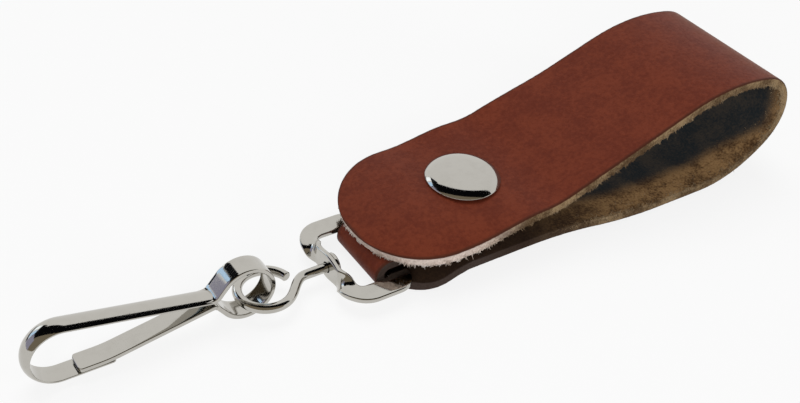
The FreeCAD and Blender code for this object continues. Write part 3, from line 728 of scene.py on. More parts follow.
def make_leather(name, shade_strength):
    """The hide, with its underside and cut more or less darkened under the snap by painted shade."""
    material, tree, shader = new_material(name)
    skin, rim = surface_value(tree, "skin"), surface_value(tree, "rim")
    x, z = part(object_place(tree), "X"), part(object_place(tree), "Z")
    grain = hide_pattern(tree, (108, 49, 31), (92, 39, 25), 0.0009, 0.25)
    flesh = hide_pattern(tree, (176, 138, 94), (84, 60, 40), 0.0005, 0.3)
    cut = hide_pattern(tree, (152, 128, 96), (88, 68, 48), 0.0004, 0.4)
    pale = hide_pattern(tree, (228, 212, 202), (184, 164, 152), 0.0004, 0.2)

    # Painted sheen: the grain turns a little paler over the bend
    bend_sheen = remap(x, SNAP_X + 0.062, SNAP_X + 0.0755, 0.0, 0.5)
    grain_colour = blend_colours(bend_sheen, grain["Color"], colour(122, 84, 58))
    # The grain side is darker in a narrow band along the cut
    burnish = remap(rim, 0.0001, 0.0008, 0.8, 0.0)
    grain_colour = blend_colours(burnish, grain_colour, colour(62, 36, 26))
    # The knife's face is palest round the flap's tip: a paler raw edge, made paler still as painted light
    # against the shade on that downward-facing cut
    at_tip = remap(x, SNAP_X - 0.012, SNAP_X + 0.006, 1.0, 0.0)
    cut_colour = blend_colours(at_tip, cut["Color"], pale["Color"])
    # Painted shade: under the snap the lower layer's cut is dark brown, for the shadow of the flap over it
    under_snap_shade = remap(x, SNAP_X + 0.004, SNAP_X + 0.034, shade_strength, 0.0)
    cut_colour = blend_colours(under_snap_shade, cut_colour, colour(46, 34, 29))
    # Painted shade: inside the loop the flesh side turns dark blue-grey away from the cut, nearer to the cut
    # higher up the bend
    reach = remap(z, 0.003, 0.011, 0.0055, 0.0008)
    loop_inside_shade = (rim - reach) * 240.0 + (flesh["Height"] - 0.5) * 1.3
    flesh_colour = blend_colours(remap(loop_inside_shade, 0.0, 1.0, 0.0, 0.88), flesh["Color"], colour(34, 47, 54))
    # Painted shade under the snap on the flesh side too
    flesh_colour = blend_colours(under_snap_shade, flesh_colour, colour(46, 34, 28))

    is_flesh = remap(skin, -0.95, -0.75, 1.0, 0.0)
    is_cut = remap(skin, 0.6, 0.84, 1.0, 0.0) * remap(rim, 0.00010, 0.00032, 1.0, 0.0)
    base = blend_colours(is_flesh, grain_colour, flesh_colour)
    base = blend_colours(is_cut, base, cut_colour)
    raw = is_flesh.at_least(is_cut)
    gloss = remap(grain["Height"], 0.3, 0.8, 0.62, 0.46)
    rough = gloss * (1.0 - raw) + raw * 0.95
    fuzz = flesh["Height"].at_least(cut["Height"]) * (raw * 4.0)
    bump = relief(grain["Height"] + fuzz, 0.35, 0.00012)
    feed(shader, {"Base Color": base, "Roughness": rough, "Normal": bump, "Specular IOR Level": 0.10})
    return material


LOOP_LEATHER = make_leather("loop_leather", 0.0)
LOWER_LEATHER = make_leather("lower_leather", 0.95)
print("leather material:", len(LOWER_LEATHER.node_tree.nodes), "nodes")


# %% [markdown]
# ## The two pieces of the strap
# The strap bends where the flap is lifted, so the loop is one piece and the lower
# layer with its tongue is another, which lies still. They meet on the flat stretch under the loop.
# The flap's near corner hangs lower than its middle, as leather does that has been carried on a belt.

# %% Edges of the strap
NEAR_DROOP = 2.6
FAR_DROOP = 0.6
FAR_LIFT = 1.3
GRAIN_ROUND = 0.35
FLESH_ROUND = 0.12
RAGGEDNESS = 0.22
ROW_PITCH = 0.6
TONGUE_PITCH = 0.3
SHOULDER_STEP = 0.02


def round_end(gap, width, flat):
    """Half the width of a round-ended strip at this distance from its end."""
    radius = (width - flat) / 2
    return flat / 2 + np.sqrt(radius**2 - (radius - np.clip(gap, 0.0, radius)) ** 2)


def shoulder_inset(x, shoulder_x, radius):
    """How far a round shoulder has drawn the strap's edge in."""
    past = np.clip(shoulder_x + radius - x, 0.0, radius)
    return radius - np.sqrt(radius**2 - past**2)


def strap_piece_line(spots):
    """The sweep's arrays for the strap at these distances along it."""
    x, z, heading = [np.interp(spots, strap_s, column) for column in (strap_x, strap_z, strap_heading)]
    far = np.minimum(STRAP_WIDTH / 2, round_end(spots, STRAP_WIDTH, TIP_FLAT))
    near = -far
    on_lower = (spots > LOW_START - 1.0) & (spots < FOLD_START)
    near = near + np.where(on_lower, shoulder_inset(x, SHOULDER_X, SHOULDER), 0.0)
    far = far - np.where(on_lower, shoulder_inset(x, FAR_SHOULDER_X, FAR_SHOULDER), 0.0)
    near = np.where(on_lower, np.minimum(near, ROW_Y - TONGUE_WIDTH / 2), near)
    far = np.where(on_lower, np.maximum(far, ROW_Y + TONGUE_WIDTH / 2), far)
    on_tongue = (spots >= FOLD_START) | (on_lower & (x < SHOULDER_X))
    tongue_half = round_end(STRAP_LENGTH - spots, TONGUE_WIDTH, TONGUE_FLAT)
    near = np.where(on_tongue, ROW_Y - tongue_half, near)
    far = np.where(on_tongue, ROW_Y + tongue_half, far)

    on_flap = heading > math.radians(-45.0)
    droop = np.where(on_flap, 1.0 - smooth_step(x, -9.0, 9.0), 0.0)
    lift = np.where(on_flap, smooth_step(x, -8.0, 6.0) * (1.0 - smooth_step(x, 14.0, 34.0)), 0.0)
    drops = {"near_drop": NEAR_DROOP * droop, "far_drop": FAR_DROOP * droop - FAR_LIFT * lift}
    side = (-np.sin(heading), 0.0, np.cos(heading))
    end_gap = np.minimum(spots, STRAP_LENGTH - spots)
    return strip_line(x, 0.0, z, (0.0, 1.0, 0.0), side, (near, far), end_gap=end_gap, **drops)


# %% Strap pieces
def spread(low, high, pitch):
    return np.linspace(low, high, max(2, math.ceil((high - low) / pitch)))[1:]


def quarter(length, count):
    """Distances that crowd together where a round outline turns fastest."""
    return length * (1 - np.cos(np.linspace(0.0, math.pi / 2, count)))


tip_spots = quarter((STRAP_WIDTH - TIP_FLAT) / 2, 36)
loop_spots = np.concatenate([tip_spots, spread(tip_spots[-1], LOW_START, ROW_PITCH)])
lower_rows = (strap_s > LOW_START) & (strap_s < FOLD_START)
shoulder_places = (-SHOULDER_X - SHOULDER, -SHOULDER_X)
shoulder_start, shoulder_end = np.interp(shoulder_places, -strap_x[lower_rows], strap_s[lower_rows])
tongue_start = shoulder_end + SHOULDER_STEP
tongue_end_spots = STRAP_LENGTH - quarter((TONGUE_WIDTH - TONGUE_FLAT) / 2, 20)[::-1]
back_spots = np.concatenate([
    [LOW_START],
    spread(LOW_START, shoulder_start, ROW_PITCH),
    shoulder_start + (shoulder_end - shoulder_start) * np.sin(np.linspace(0.05, math.pi / 2, 26)),
    [tongue_start],
    spread(tongue_start, tongue_end_spots[0], TONGUE_PITCH),
    tongue_end_spots[1:],
])
leather_section = rounded_box(STRAP_WIDTH, LEATHER, GRAIN_ROUND, FLESH_ROUND, 72)


def strap_piece(name, spots, material):
    line = strap_piece_line(spots)
    return make_strip(name, line, leather_section, STRAP_WIDTH, LEATHER, material, raggedness=RAGGEDNESS)


strap_loop = strap_piece("strap_loop", loop_spots, LOOP_LEATHER)
strap_lower = strap_piece("strap_lower", back_spots, LOWER_LEATHER)


# %% [markdown]
# ## Metal finishes
# The hook, eye, bracket and cap are bright nickel plate. Plate isn't a perfect mirror: it has faint rubbing
# marks along the part, and it is a little duller in patches. A node group makes those marks, and the plated
# steel, plated brass, bare brass and spring wire each use it with their own colour and gloss.

# %% Pattern shared by the metals
MARK_SCALE = (500.0, 7000.0, 7000.0)
MARK_TURN = (0.0, 0.0, 0.2)


def make_plate_group():
    inputs = {"Color": "Color", "Dull": "Color", "Gloss": "Float", "Marks": "Float"}
    outputs = {"Color": "Color", "Roughness": "Float", "Height": "Float"}
    group, given = new_tree("rubbed_plate", "ShaderNodeTree", inputs, outputs)
    place = object_place(group)
    patches = noise(place, 420.0, 5.0, 0.65)
    patch = remap(patches, 0.42, 0.72)
    drawn = wire(group, "ShaderNodeMapping", {"Vector": place, "Scale": MARK_SCALE, "Rotation": MARK_TURN})
    worn = remap(noise(drawn, 1.0, 3.0, 0.7), 0.56, 0.78) * given["Marks"]
    mixed = blend_colours(patch * 0.2, given["Color"], given["Dull"])
    rough = given["Gloss"] + patch * 0.03 + worn * 0.12
    height = worn * 0.4 + patches * 0.6
    add_node(group, "NodeGroupOutput", {"Color": mixed, "Roughness": rough, "Height": height})
    return group


PLATE_GROUP = make_plate_group()


def make_metal(name, bright, dull, gloss, marks):
    material, tree, shader = new_material(name)
    values = {"Color": colour(*bright), "Dull": colour(*dull), "Gloss": gloss, "Marks": marks}
    plate = use_group(tree, PLATE_GROUP, values)
    bump = relief(plate["Height"], 0.12, 0.00004)
    feed(shader, {"Base Color": plate["Color"], "Roughness": plate["Roughness"]})
    feed(shader, {"Normal": bump, "Metallic": 1.0})
    return material


NICKEL = make_metal("nickel_plate", (184, 181, 174), (164, 160, 152), 0.08, 0.7)
SNAP_NICKEL = make_metal("snap_nickel", (188, 183, 172), (160, 153, 140), 0.20, 0.8)
SNAP_BRASS = make_metal("snap_brass", (196, 172, 120), (150, 122, 78), 0.24, 0.8)
SPRING_STEEL = make_metal("spring_wire", (168, 168, 166), (120, 118, 114), 0.28, 1.0)
print("metals share", len(PLATE_GROUP.nodes), "nodes")


# %% [markdown]
# ## Sections and turned shapes
# A section is drawn as corners, each with its own small radius, because no pressed or drawn metal has
# knife-sharp edges and the thin bright lines along them are what make metal look real. The snap's pieces are
# turned: a profile carried once round the snap's axis.

# %% Helpers for sections and turned shapes
def rounded_outline(corners, steps=5):
    """A closed outline through corners (u, v, radius), each rounded by its own radius."""
    outline = []
    for index, (u, v, radius) in enumerate(corners):
        here = np.array([u, v])
        if radius == 0.0:
            outline.append((u, v))
            continue
        before = np.array(corners[index - 1][:2]) - here
        after = np.array(corners[(index + 1) % len(corners)][:2]) - here
        before = before / np.linalg.norm(before)
        after = after / np.linalg.norm(after)
        half_angle = math.acos(np.clip(before @ after, -1.0, 1.0)) / 2
        inward = (before + after) / np.linalg.norm(before + after)
        centre = here + inward * radius / math.sin(half_angle)
        first = here + before * radius / math.tan(half_angle) - centre
        last = here + after * radius / math.tan(half_angle) - centre
        swing = math.pi - 2 * half_angle
        for angle in np.linspace(0.0, swing, steps):
            spoke = math.sin(swing - angle) * first + math.sin(angle) * last
            outline.append(tuple(centre + spoke / math.sin(swing)))
    return outline


def turned_piece(name, outline, place, axis, material, closed=True, steps=96):
    """An outline of (distance from the axis, distance along it) carried once round the axis."""
    along = Vector(axis)
    start = along.orthogonal().normalized()
    across = along.cross(start)
    corners, faces = [], []
    count = len(outline)
    for step in range(steps):
        angle = 2 * math.pi * step / steps
        spoke = start * math.cos(angle) + across * math.sin(angle)
        corners += [tuple(Vector(place) + spoke * (r * MM) + along * (h * MM)) for r, h in outline]
        here, there = step * count, (step + 1) % steps * count
        for i in range(count if closed else count - 1):
            j = (i + 1) % count
            faces.append((here + i, here + j, there + j, there + i))
    mesh = bpy.data.meshes.new(name)
    mesh.from_pydata(corners, [], faces)
    mesh.materials.append(material)
    face_outwards(mesh)
    print(name, len(mesh.polygons), "faces")
    return link_object(name, mesh)


def soften_ends(line, bevel, thickness):
    """Adds a slightly smaller last row at both ends of a strip, so that the ends aren't sharp."""

    def end_row(end, inward):
        step = line["middle"][end] - line["middle"][inward]
        row = {key: np.array(values[end]) for key, values in line.items()}
        row["middle"] = row["middle"] + step / np.linalg.norm(step) * bevel * MM
        row["side"] = row["side"] * (1 - 2 * bevel / thickness)
        row["near_edge"] = row["near_edge"] + bevel * MM
        row["far_edge"] = row["far_edge"] - bevel * MM
        return row

    first, last = end_row(0, 1), end_row(-1, -2)
    return {key: np.concatenate([first[key][None], values, last[key][None]]) for key, values in line.items()}


# %% [markdown]
# ## Hook and leaf
# The hook is one strip of sprung steel in an upright plane: a short return, a round nose, a half-round
# spine, and a curl through which the swivel's ring runs. The leaf springs from the curl and rests on the
# return. All lines are chained from the ring's place, which the solids' own joint gives.

# %% Sizes of the hook and the leaf
STRIP = 0.9
SPINE_WIDTH = 4.0
SPINE_EDGE = 0.3
SPINE_CROWN = 0.8
SPINE_RUN = 28.0
CURL_WIDTH = 4.4
CURL_RADIUS = 5.15
CURL_BACK = 0.6
NECK_BACK = 6.05
NECK_HEIGHT = 5.1
NECK_GAP = 0.3
NECK_BEND = 1.5
NECK_LEAD = 1.0
NOSE_RADIUS = 5.7
RETURN_RUN = 9.2
RETURN_END = 0.8
LEAF_WIDTH = 4.2
LEAF_BEND = 1.2
LEAF_CURVE = 22.0
LEAF_START = 2.6
LEAF_FLAT = 5.3
LEAF_END = 0.7
LEAF_SINK = 0.35
CUT_OVERLAP = 3.0
SPINE_OVERLAP = 0.2
FINE_PITCH = 0.05
spine_out = SPINE_EDGE + SPINE_CROWN - STRIP / 2
ring_end_x = (joint_places["hook_swing"][0] - SNAP_X) / MM
curl_middle = np.array([ring_end_x + CURL_BACK, CURL_RADIUS + STRIP / 2])
neck_low = np.array([curl_middle[0] - NECK_BACK, NECK_HEIGHT])
neck_high = neck_low + np.array([0.0, STRIP + NECK_GAP])
nose_middle = np.array([neck_low[0] - SPINE_RUN, NOSE_RADIUS + spine_out])
leaf_corner = np.array([nose_middle[0] + LEAF_START + LEAF_FLAT, spine_out + 1.5 * STRIP - LEAF_SINK])


print("nose", round(curl_middle[0] - nose_middle[0], 1), "mm ahead of the curl")


# %% Directions along the hook
def direction(way):
    return math.degrees(math.atan2(way[1], way[0]))


def tangent_angle(radius, way):
    return math.degrees(math.asin(radius / np.hypot(*way)))


def tangent_length(radius, way):
    return math.sqrt(way @ way - radius**2)


def corner_cut(radius, degrees):
    return radius * math.tan(math.radians(degrees) / 2)


def ahead_of(angle):
    return np.array([math.cos(angle), math.sin(angle)])


def right_of(angle):
    return np.array([math.sin(angle), -math.cos(angle)])


spine_way = neck_high - nose_middle
spine_slope = tangent_angle(NOSE_RADIUS, spine_way) - direction(spine_way)
way_up = curl_middle - neck_high
way_down = neck_low - curl_middle
curl_up = direction(way_up) + tangent_angle(CURL_RADIUS, way_up)
curl_back = (direction(way_down) - tangent_angle(CURL_RADIUS, way_down)) % 360.0
leaf_way = neck_low - leaf_corner
leaf_angle = direction(leaf_way)
leaf_turn = 180.0 + leaf_angle - curl_back
print("spine slopes", round(spine_slope, 1), "degrees, leaf", round(leaf_angle, 1))


# %% Lines of the hook and the leaf
def spine_trail():
    """From the end of the return round the nose and along the spine to the neck."""
    trail = Trail(nose_middle[0] + RETURN_RUN, spine_out, 180.0)
    trail.run(RETURN_END, FINE_PITCH).run(RETURN_RUN - RETURN_END)
    trail.turn(NOSE_RADIUS, -180.0 - spine_slope)
    return trail.run(tangent_length(NOSE_RADIUS, spine_way) + SPINE_OVERLAP)


def curl_trail():
    """From the neck over the curl to the cut where the leaf begins."""
    neck_turn = curl_up + spine_slope
    cut = corner_cut(NECK_BEND, neck_turn)
    start = neck_high - ahead_of(math.radians(-spine_slope)) * (cut + NECK_LEAD)
    trail = Trail(*start, -spine_slope).run(NECK_LEAD)
    trail.turn(NECK_BEND, neck_turn)
    trail.run(tangent_length(CURL_RADIUS, way_up) - cut)
    trail.turn(CURL_RADIUS, -(curl_up + 360.0 - curl_back))
    trail.run(tangent_length(CURL_RADIUS, way_down) - corner_cut(LEAF_BEND, leaf_turn))
    return trail.turn(LEAF_BEND, leaf_turn / 2 - CUT_OVERLAP, FINE_PITCH)


def leaf_trail():
    """From the cut at the neck along the leaf to its tip on the return."""
    bend_cut = corner_cut(LEAF_BEND, leaf_turn)
    curve_cut = corner_cut(LEAF_CURVE, leaf_angle)
    angle = math.radians(leaf_angle)
    middle = math.radians(curl_back + leaf_turn / 2)
    centre = neck_low + right_of(angle) * LEAF_BEND - ahead_of(angle) * bend_cut
    start = centre + right_of(middle) * LEAF_BEND
    trail = Trail(*start, math.degrees(middle))
    trail.turn(LEAF_BEND, leaf_turn / 2, FINE_PITCH)
    trail.run(np.hypot(*leaf_way) - bend_cut - curve_cut)
    trail.turn(LEAF_CURVE, -leaf_angle)
    return trail.run(LEAF_FLAT - curve_cut - LEAF_END).run(LEAF_END, FINE_PITCH)


def upright_line(trail, width):
    """The sweep's arrays for a strip in the upright plane of the metal row."""
    x, z, heading, _ = trail.rows()
    side = (-np.sin(heading), 0.0, np.cos(heading))
    return strip_line(x, ROW_Y, z, (0.0, 1.0, 0.0), side, (-width / 2, width / 2))


def round_corners(line, radius, at_start):
    """Narrows a strip towards one end, as its filed corners do."""
    steps = np.linalg.norm(np.diff(line["middle"], axis=0), axis=1)
    along = np.concatenate([[0.0], np.cumsum(steps)])
    from_end = (along if at_start else along[-1] - along) / MM
    past = np.clip(radius - from_end, 0.0, radius)
    inset = (radius - np.sqrt(radius**2 - past**2)) * MM
    line["near_edge"] = line["near_edge"] + inset
    line["far_edge"] = line["far_edge"] - inset
    return line


# %% Hook and leaf pieces
BEVEL = 0.08
RETURN_ROUND = 0.7
LEAF_ROUND = 0.6
CURL_EDGE = 0.22
LEAF_EDGE = 0.18
DRAWN_ROWS = 13


def half_round_section():
    """Flat on the inside of the hook, crowned on the outside."""
    half = SPINE_WIDTH / 2
    inner = -STRIP / 2
    edge = inner + SPINE_EDGE
    radius = (half**2 + SPINE_CROWN**2) / (2 * SPINE_CROWN)
    widest = math.asin(half / radius)
    angles = np.linspace(-widest, widest, 25)[1:-1]
    crown = [(radius * math.sin(a), edge + SPINE_CROWN - radius * (1 - math.cos(a)), 0.0) for a in angles]
    corners = [(half, edge, 0.08), (half, inner, 0.1), (-half, inner, 0.1), (-half, edge, 0.08)]
    return rounded_outline(corners + crown, 4)


def joined(name, pieces):
    """Several meshes as one piece."""
    work = bmesh.new()
    mesh = bpy.data.meshes.new(name)
    for piece in pieces:
        work.from_mesh(piece.data)
    work.to_mesh(mesh)
    work.free()
    mesh.materials.append(pieces[0].data.materials[0])
    for piece in pieces:
        bpy.data.objects.remove(piece)
    return link_object(name, mesh)


def sprung_strip(name, line, section, width):
    return make_strip(name, soften_ends(line, BEVEL, STRIP), section, width, STRIP, NICKEL)


spine_line = round_corners(upright_line(spine_trail(), SPINE_WIDTH), RETURN_ROUND, True)
spine = sprung_strip("spine", spine_line, half_round_section(), SPINE_WIDTH)
# The curl is drawn out thin where it leaves the spine
curl_line = upright_line(curl_trail(), CURL_WIDTH)
drawn_out = 1.0 - 0.85 * (1.0 - smooth_step(np.arange(len(curl_line["middle"])), 0, DRAWN_ROWS))
curl_line["side"] = curl_line["side"] * drawn_out[:, None]
for edge in ("near_edge", "far_edge"):
    curl_line[edge] = curl_line[edge] * (0.8 + 0.2 * drawn_out)
curl = sprung_strip("curl", curl_line, rounded_box(CURL_WIDTH, STRIP, CURL_EDGE, CURL_EDGE, 9), CURL_WIDTH)
hook = joined("hook", [spine, curl])
leaf_line = round_corners(upright_line(leaf_trail(), LEAF_WIDTH), LEAF_ROUND, False)
leaf = sprung_strip("leaf", leaf_line, rounded_box(LEAF_WIDTH, STRIP, LEAF_EDGE, LEAF_EDGE, 9), LEAF_WIDTH)


# %% [markdown]
# ## Swivel eye
# A wire is bent into a ring, leaves it through a gentle double bend, and ends in a head upset behind the
# bracket. The ring isn't welded: its cut end stops short of the shank, as the photograph shows.

# %% Sizes of the swivel eye
WIRE = 1.9
WIRE_BEVEL = 0.14
RING_RADIUS = 5.15
RING_NECK = 3.65
RING_GAP = 12.0
RING_LEAVE = -50.0
RING_PITCH = 2.0
RING_PULL = 2.6
NECK_PULL = 2.2
NECK_SHIFT = 0.5
SHANK_RUN = 5.45
SHANK_IN_HEAD = 0.55
SHANK_PITCH = 0.3
HEAD_GAP = 0.05
HEAD_RADIUS = 2.4
HEAD_SIDE = 0.5
HEAD_DOME = 0.7
SHEET = 1.1
FRONT_RUN = 12.2
FRONT_WIDTH = 3.4
AXIS_Z = joint_places["bracket_pivot"][2] / MM
pivot_x = (joint_places["bracket_pivot"][0] - SNAP_X) / MM
bracket_front = pivot_x - FRONT_RUN
front_plate = bracket_front + FRONT_WIDTH / 2
ring_neck_x = front_plate - SHANK_RUN
print("ear at x =", round(front_plate, 2), "mm, ring's neck at", round(ring_neck_x, 2))


# %% Swivel eye
def on_axis(x):
    """A place on the swivel's axis."""
    return Vector((x * MM + SNAP_X, ROW_Y * MM, AXIS_Z * MM))


def eye_line():
    """The wire's middle line in plan: the shank, the neck that swings out from it, and the ring."""
    ring_x = ring_neck_x - math.sqrt((RING_RADIUS + RING_NECK) ** 2 - RING_NECK**2)
    shank_start = front_plate + SHEET / 2 + SHANK_IN_HEAD
    shank_x = np.arange(shank_start, ring_neck_x + NECK_SHIFT + 0.1, -SHANK_PITCH)
    shank = np.stack([shank_x, np.zeros(len(shank_x))], axis=1)
    leave = math.radians(RING_LEAVE)
    ring_start = np.array([ring_x, 0.0]) + RING_RADIUS * ahead_of(leave)
    neck_start = np.array([ring_neck_x + NECK_SHIFT, 0.0])
    pull_ring = ring_start - RING_PULL * right_of(leave)
    pull_neck = neck_start - np.array([NECK_PULL, 0.0])
    t = np.linspace(0.0, 1.0, 40)[:, None]
    neck = (1 - t) ** 3 * neck_start + 3 * t * (1 - t) ** 2 * pull_neck
    neck = neck + 3 * t**2 * (1 - t) * pull_ring + t**3 * ring_start
    turns = np.radians(np.arange(RING_LEAVE - RING_PITCH, RING_GAP - 360.0, -RING_PITCH))
    ring = np.stack([ring_x + RING_RADIUS * np.cos(turns), RING_RADIUS * np.sin(turns)], axis=1)
    points = np.concatenate([shank, neck, ring])
    ahead = np.gradient(points, axis=0)
    return points, ahead / np.linalg.norm(ahead, axis=1)[:, None]


def make_eye():
    (x, y), (ahead_x, ahead_y) = [rows.T for rows in eye_line()]
    half = WIRE / 2
    line = strip_line(x, y + ROW_Y, AXIS_Z, (-ahead_y, ahead_x, 0.0), (0.0, 0.0, 1.0), (-half, half))
    section = arc(0.0, 0.0, half, np.linspace(0.0, 2 * math.pi, 28, endpoint=False))
    bent_wire = make_strip("wire", soften_ends(line, WIRE_BEVEL, WIRE), section, WIRE, WIRE, NICKEL)
    angles = np.linspace(0.0, math.pi / 2, 14)
    dome = [(HEAD_RADIUS * math.sin(a), HEAD_SIDE + HEAD_DOME * math.cos(a)) for a in angles]
    profile = dome + [(HEAD_RADIUS, 0.06), (HEAD_RADIUS - 0.06, 0.0), (0.0, 0.0)]
    place = on_axis(front_plate + SHEET / 2 + HEAD_GAP)
    head = turned_piece("head", profile, place, (1.0, 0.0, 0.0), NICKEL, closed=False, steps=48)
    return joined("swivel_eye_wire", [bent_wire, head])


eye = make_eye()


# %% [markdown]
# ## Strap bracket
# The bracket is stamped from sheet as a flat loop. Its front piece is then turned a quarter round, so that an
# upright ear carries the swivel. The loop's line follows the inside of the window. The way from there to the
# outside is measured point by point, and the quarter turn is added where the front piece twists.

# %% Outlines of the bracket
WINDOW_HALF = 8.15
ARM_WIDTH = 4.2
BAR_WIDTH = 4.2
REAR_INNER_ROUND = 1.2
FRONT_INNER_ROUND = 1.5
FRONT_ROUND = 5.5
REAR_ROUND = 4.0
TWIST_START = 8.0
TWIST_END = 3.7
EAR_HEIGHT = 5.4
EAR_NECK = 4.3
SHEET_EDGE = 0.3
CORNER_PITCH = 0.08
FARTHEST = 12.0
HOLE_REACH = 1.2
HOLE_RADIUS = 1.15


def window_line():
    """The window's outline: points and outward directions, anticlockwise from above."""
    left = bracket_front + FRONT_WIDTH
    right = pivot_x - BAR_WIDTH / 2
    trail = Trail(left + FRONT_INNER_ROUND, -WINDOW_HALF, 0.0)
    long_run = right - left - REAR_INNER_ROUND - FRONT_INNER_ROUND
    rear_run = 2 * WINDOW_HALF - 2 * REAR_INNER_ROUND
    front_run = 2 * WINDOW_HALF - 2 * FRONT_INNER_ROUND
    for run, pitch, corner in (
        (long_run, 0.2, REAR_INNER_ROUND),
        (rear_run, 0.2, REAR_INNER_ROUND),
        (long_run, 0.2, FRONT_INNER_ROUND),
        (front_run, 0.1, FRONT_INNER_ROUND),
    ):
        trail.run(run, pitch).turn(corner, 90.0, CORNER_PITCH)
    x, y, heading, _ = trail.rows()
    points = np.stack([x, y], axis=1)[:-1]
    outward = np.stack([np.sin(heading), -np.cos(heading)], axis=1)[:-1]
    return points, outward


def outside_distance(points):
    """How far points lie outside the loop's outer outline, negative inside it."""
    rear = pivot_x + BAR_WIDTH / 2
    middle = (bracket_front + rear) / 2
    rounding = np.where(points[:, 0] < middle, FRONT_ROUND, REAR_ROUND)
    half = np.array([(rear - bracket_front) / 2, WINDOW_HALF + ARM_WIDTH])
    past = np.abs(points - np.array([middle, 0.0])) - half + rounding[:, None]
    return np.linalg.norm(np.maximum(past, 0.0), axis=1) + np.minimum(past.max(axis=1), 0.0) - rounding


# %% Bracket and its hole
def make_bracket():
    points, outward = window_line()
    low, high = np.zeros(len(points)), np.full(len(points), FARTHEST)
    for _ in range(40):
        reach = (low + high) / 2
        outside = outside_distance(points + outward * reach[:, None]) > 0.0
        low, high = np.where(outside, low, reach), np.where(outside, reach, high)
    x, y = (points + outward * reach[:, None] / 2).T
    out_x, out_y = outward.T
    along = np.concatenate([[0.0], np.cumsum(np.linalg.norm(np.diff(points, axis=0), axis=1))])
    front_middle = along[np.argmin(points[:, 0] + 0.001 * np.abs(points[:, 1]))]
    off_middle = np.abs(along - front_middle)
    turned = 1.0 - smooth_step(off_middle, TWIST_END, TWIST_START)
    rising, lying = np.sin(turned * math.pi / 2), np.cos(turned * math.pi / 2)
    ear = EAR_NECK + (EAR_HEIGHT - EAR_NECK) * (1.0 - smooth_step(off_middle, 0.0, TWIST_END))
    half = (reach + (ear - reach) * turned) / 2
    across = (out_x * lying, out_y * lying, -rising)
    side = (out_x * rising, out_y * rising, lying)
    line = strip_line(x, y + ROW_Y, AXIS_Z, across, side, (-half, half))
    section = rounded_box(ARM_WIDTH, SHEET, SHEET_EDGE, SHEET_EDGE, 13)
    return make_strip("bracket_loop", line, section, ARM_WIDTH, SHEET, NICKEL, closed=True)


def bore(piece, middle, reach, radius):
    """A round hole through a piece, along the swivel's axis."""
    work = bmesh.new()
    turn = reach.to_track_quat("Z", "Y").to_matrix().to_4x4()
    turn.translation = middle
    sizes = {"segments": 40, "radius1": radius, "radius2": radius, "depth": 2 * reach.length}
    bmesh.ops.create_cone(work, cap_ends=True, matrix=turn, **sizes)
    mesh = bpy.data.meshes.new("drill")
    work.to_mesh(mesh)
    work.free()
    drill = link_object("drill", mesh)
    cut = piece.modifiers.new("hole", "BOOLEAN")
    cut.operation = "DIFFERENCE"
    cut.solver = "EXACT"
    cut.object = drill
    piece.data = modified_mesh(piece, cut)
    bpy.data.objects.remove(drill)
    face_outwards(piece.data)


bracket = make_bracket()
bore(bracket, on_axis(front_plate), Vector((HOLE_REACH * MM, 0.0, 0.0)), HOLE_RADIUS * MM)
print("bracket bored:", len(bracket.data.polygons), "faces")


# %% [markdown]
# ## Press snap
# Six turned pieces. The cap's dome and rolled rim are what the photograph shows. The post, socket, spring
# ring, stud and lower post come into view when the flap is lifted, and they have the rounded lips of pressed
# sheet.

# %% Outline of the cap
DOME_REACH = 7.55
DOME_DROP = 1.547
DOME_PEAK = 13.6
DOME_SHELL = 0.25
DOME_INSIDE = 6.6
RIM_ROLL = 0.29
LIP_INSIDE = 4.5
SPRING_RADIUS = 2.5
SPRING_WIRE = 0.3
SPRING_HEIGHT = 8.16
UPRIGHT = (0.0, 0.0, 1.0)


def dome_height(radius, peak):
    """A shallow dome that rolls over quickly near its rim."""
    out = radius / DOME_REACH
    return peak - DOME_DROP * (0.35 * out**2 + 0.65 * out**8)


def cap_outline():
    """The domed shell, rolled round its rim and in under it."""
    spread_out = DOME_REACH * np.sin(np.linspace(0.0, math.pi / 2, 36))
    dome = [(r, dome_height(r, DOME_PEAK)) for r in spread_out]
    tilt = math.atan(DOME_DROP / DOME_REACH * (0.35 * 2 + 0.65 * 8))
    centre_r, centre_z = DOME_REACH - RIM_ROLL * math.sin(tilt), dome[-1][1] - RIM_ROLL * math.cos(tilt)
    angles = np.linspace(math.pi / 2 - tilt, -math.pi / 2, 16)[1:]
    rim = arc(centre_r, centre_z, RIM_ROLL, angles)
    lip_top = FLAP_TOP + DOME_SHELL
    lip = [(LIP_INSIDE, FLAP_TOP), (LIP_INSIDE, lip_top), (DOME_INSIDE, lip_top)]
    inside = [(r, dome_height(r, DOME_PEAK - DOME_SHELL)) for r in np.linspace(DOME_INSIDE, 0.0, 12)]
    return dome + rim + lip + inside


# %% Snap pieces
def snap_piece(name, material, outline, **options):
    return turned_piece(name, outline, (SNAP_X, 0.0, 0.0), UPRIGHT, material, **options)


def pressed_piece(name, material, rounding, points):
    return snap_piece(name, material, rounded_outline([(r, z, rounding) for r, z in points], 4))


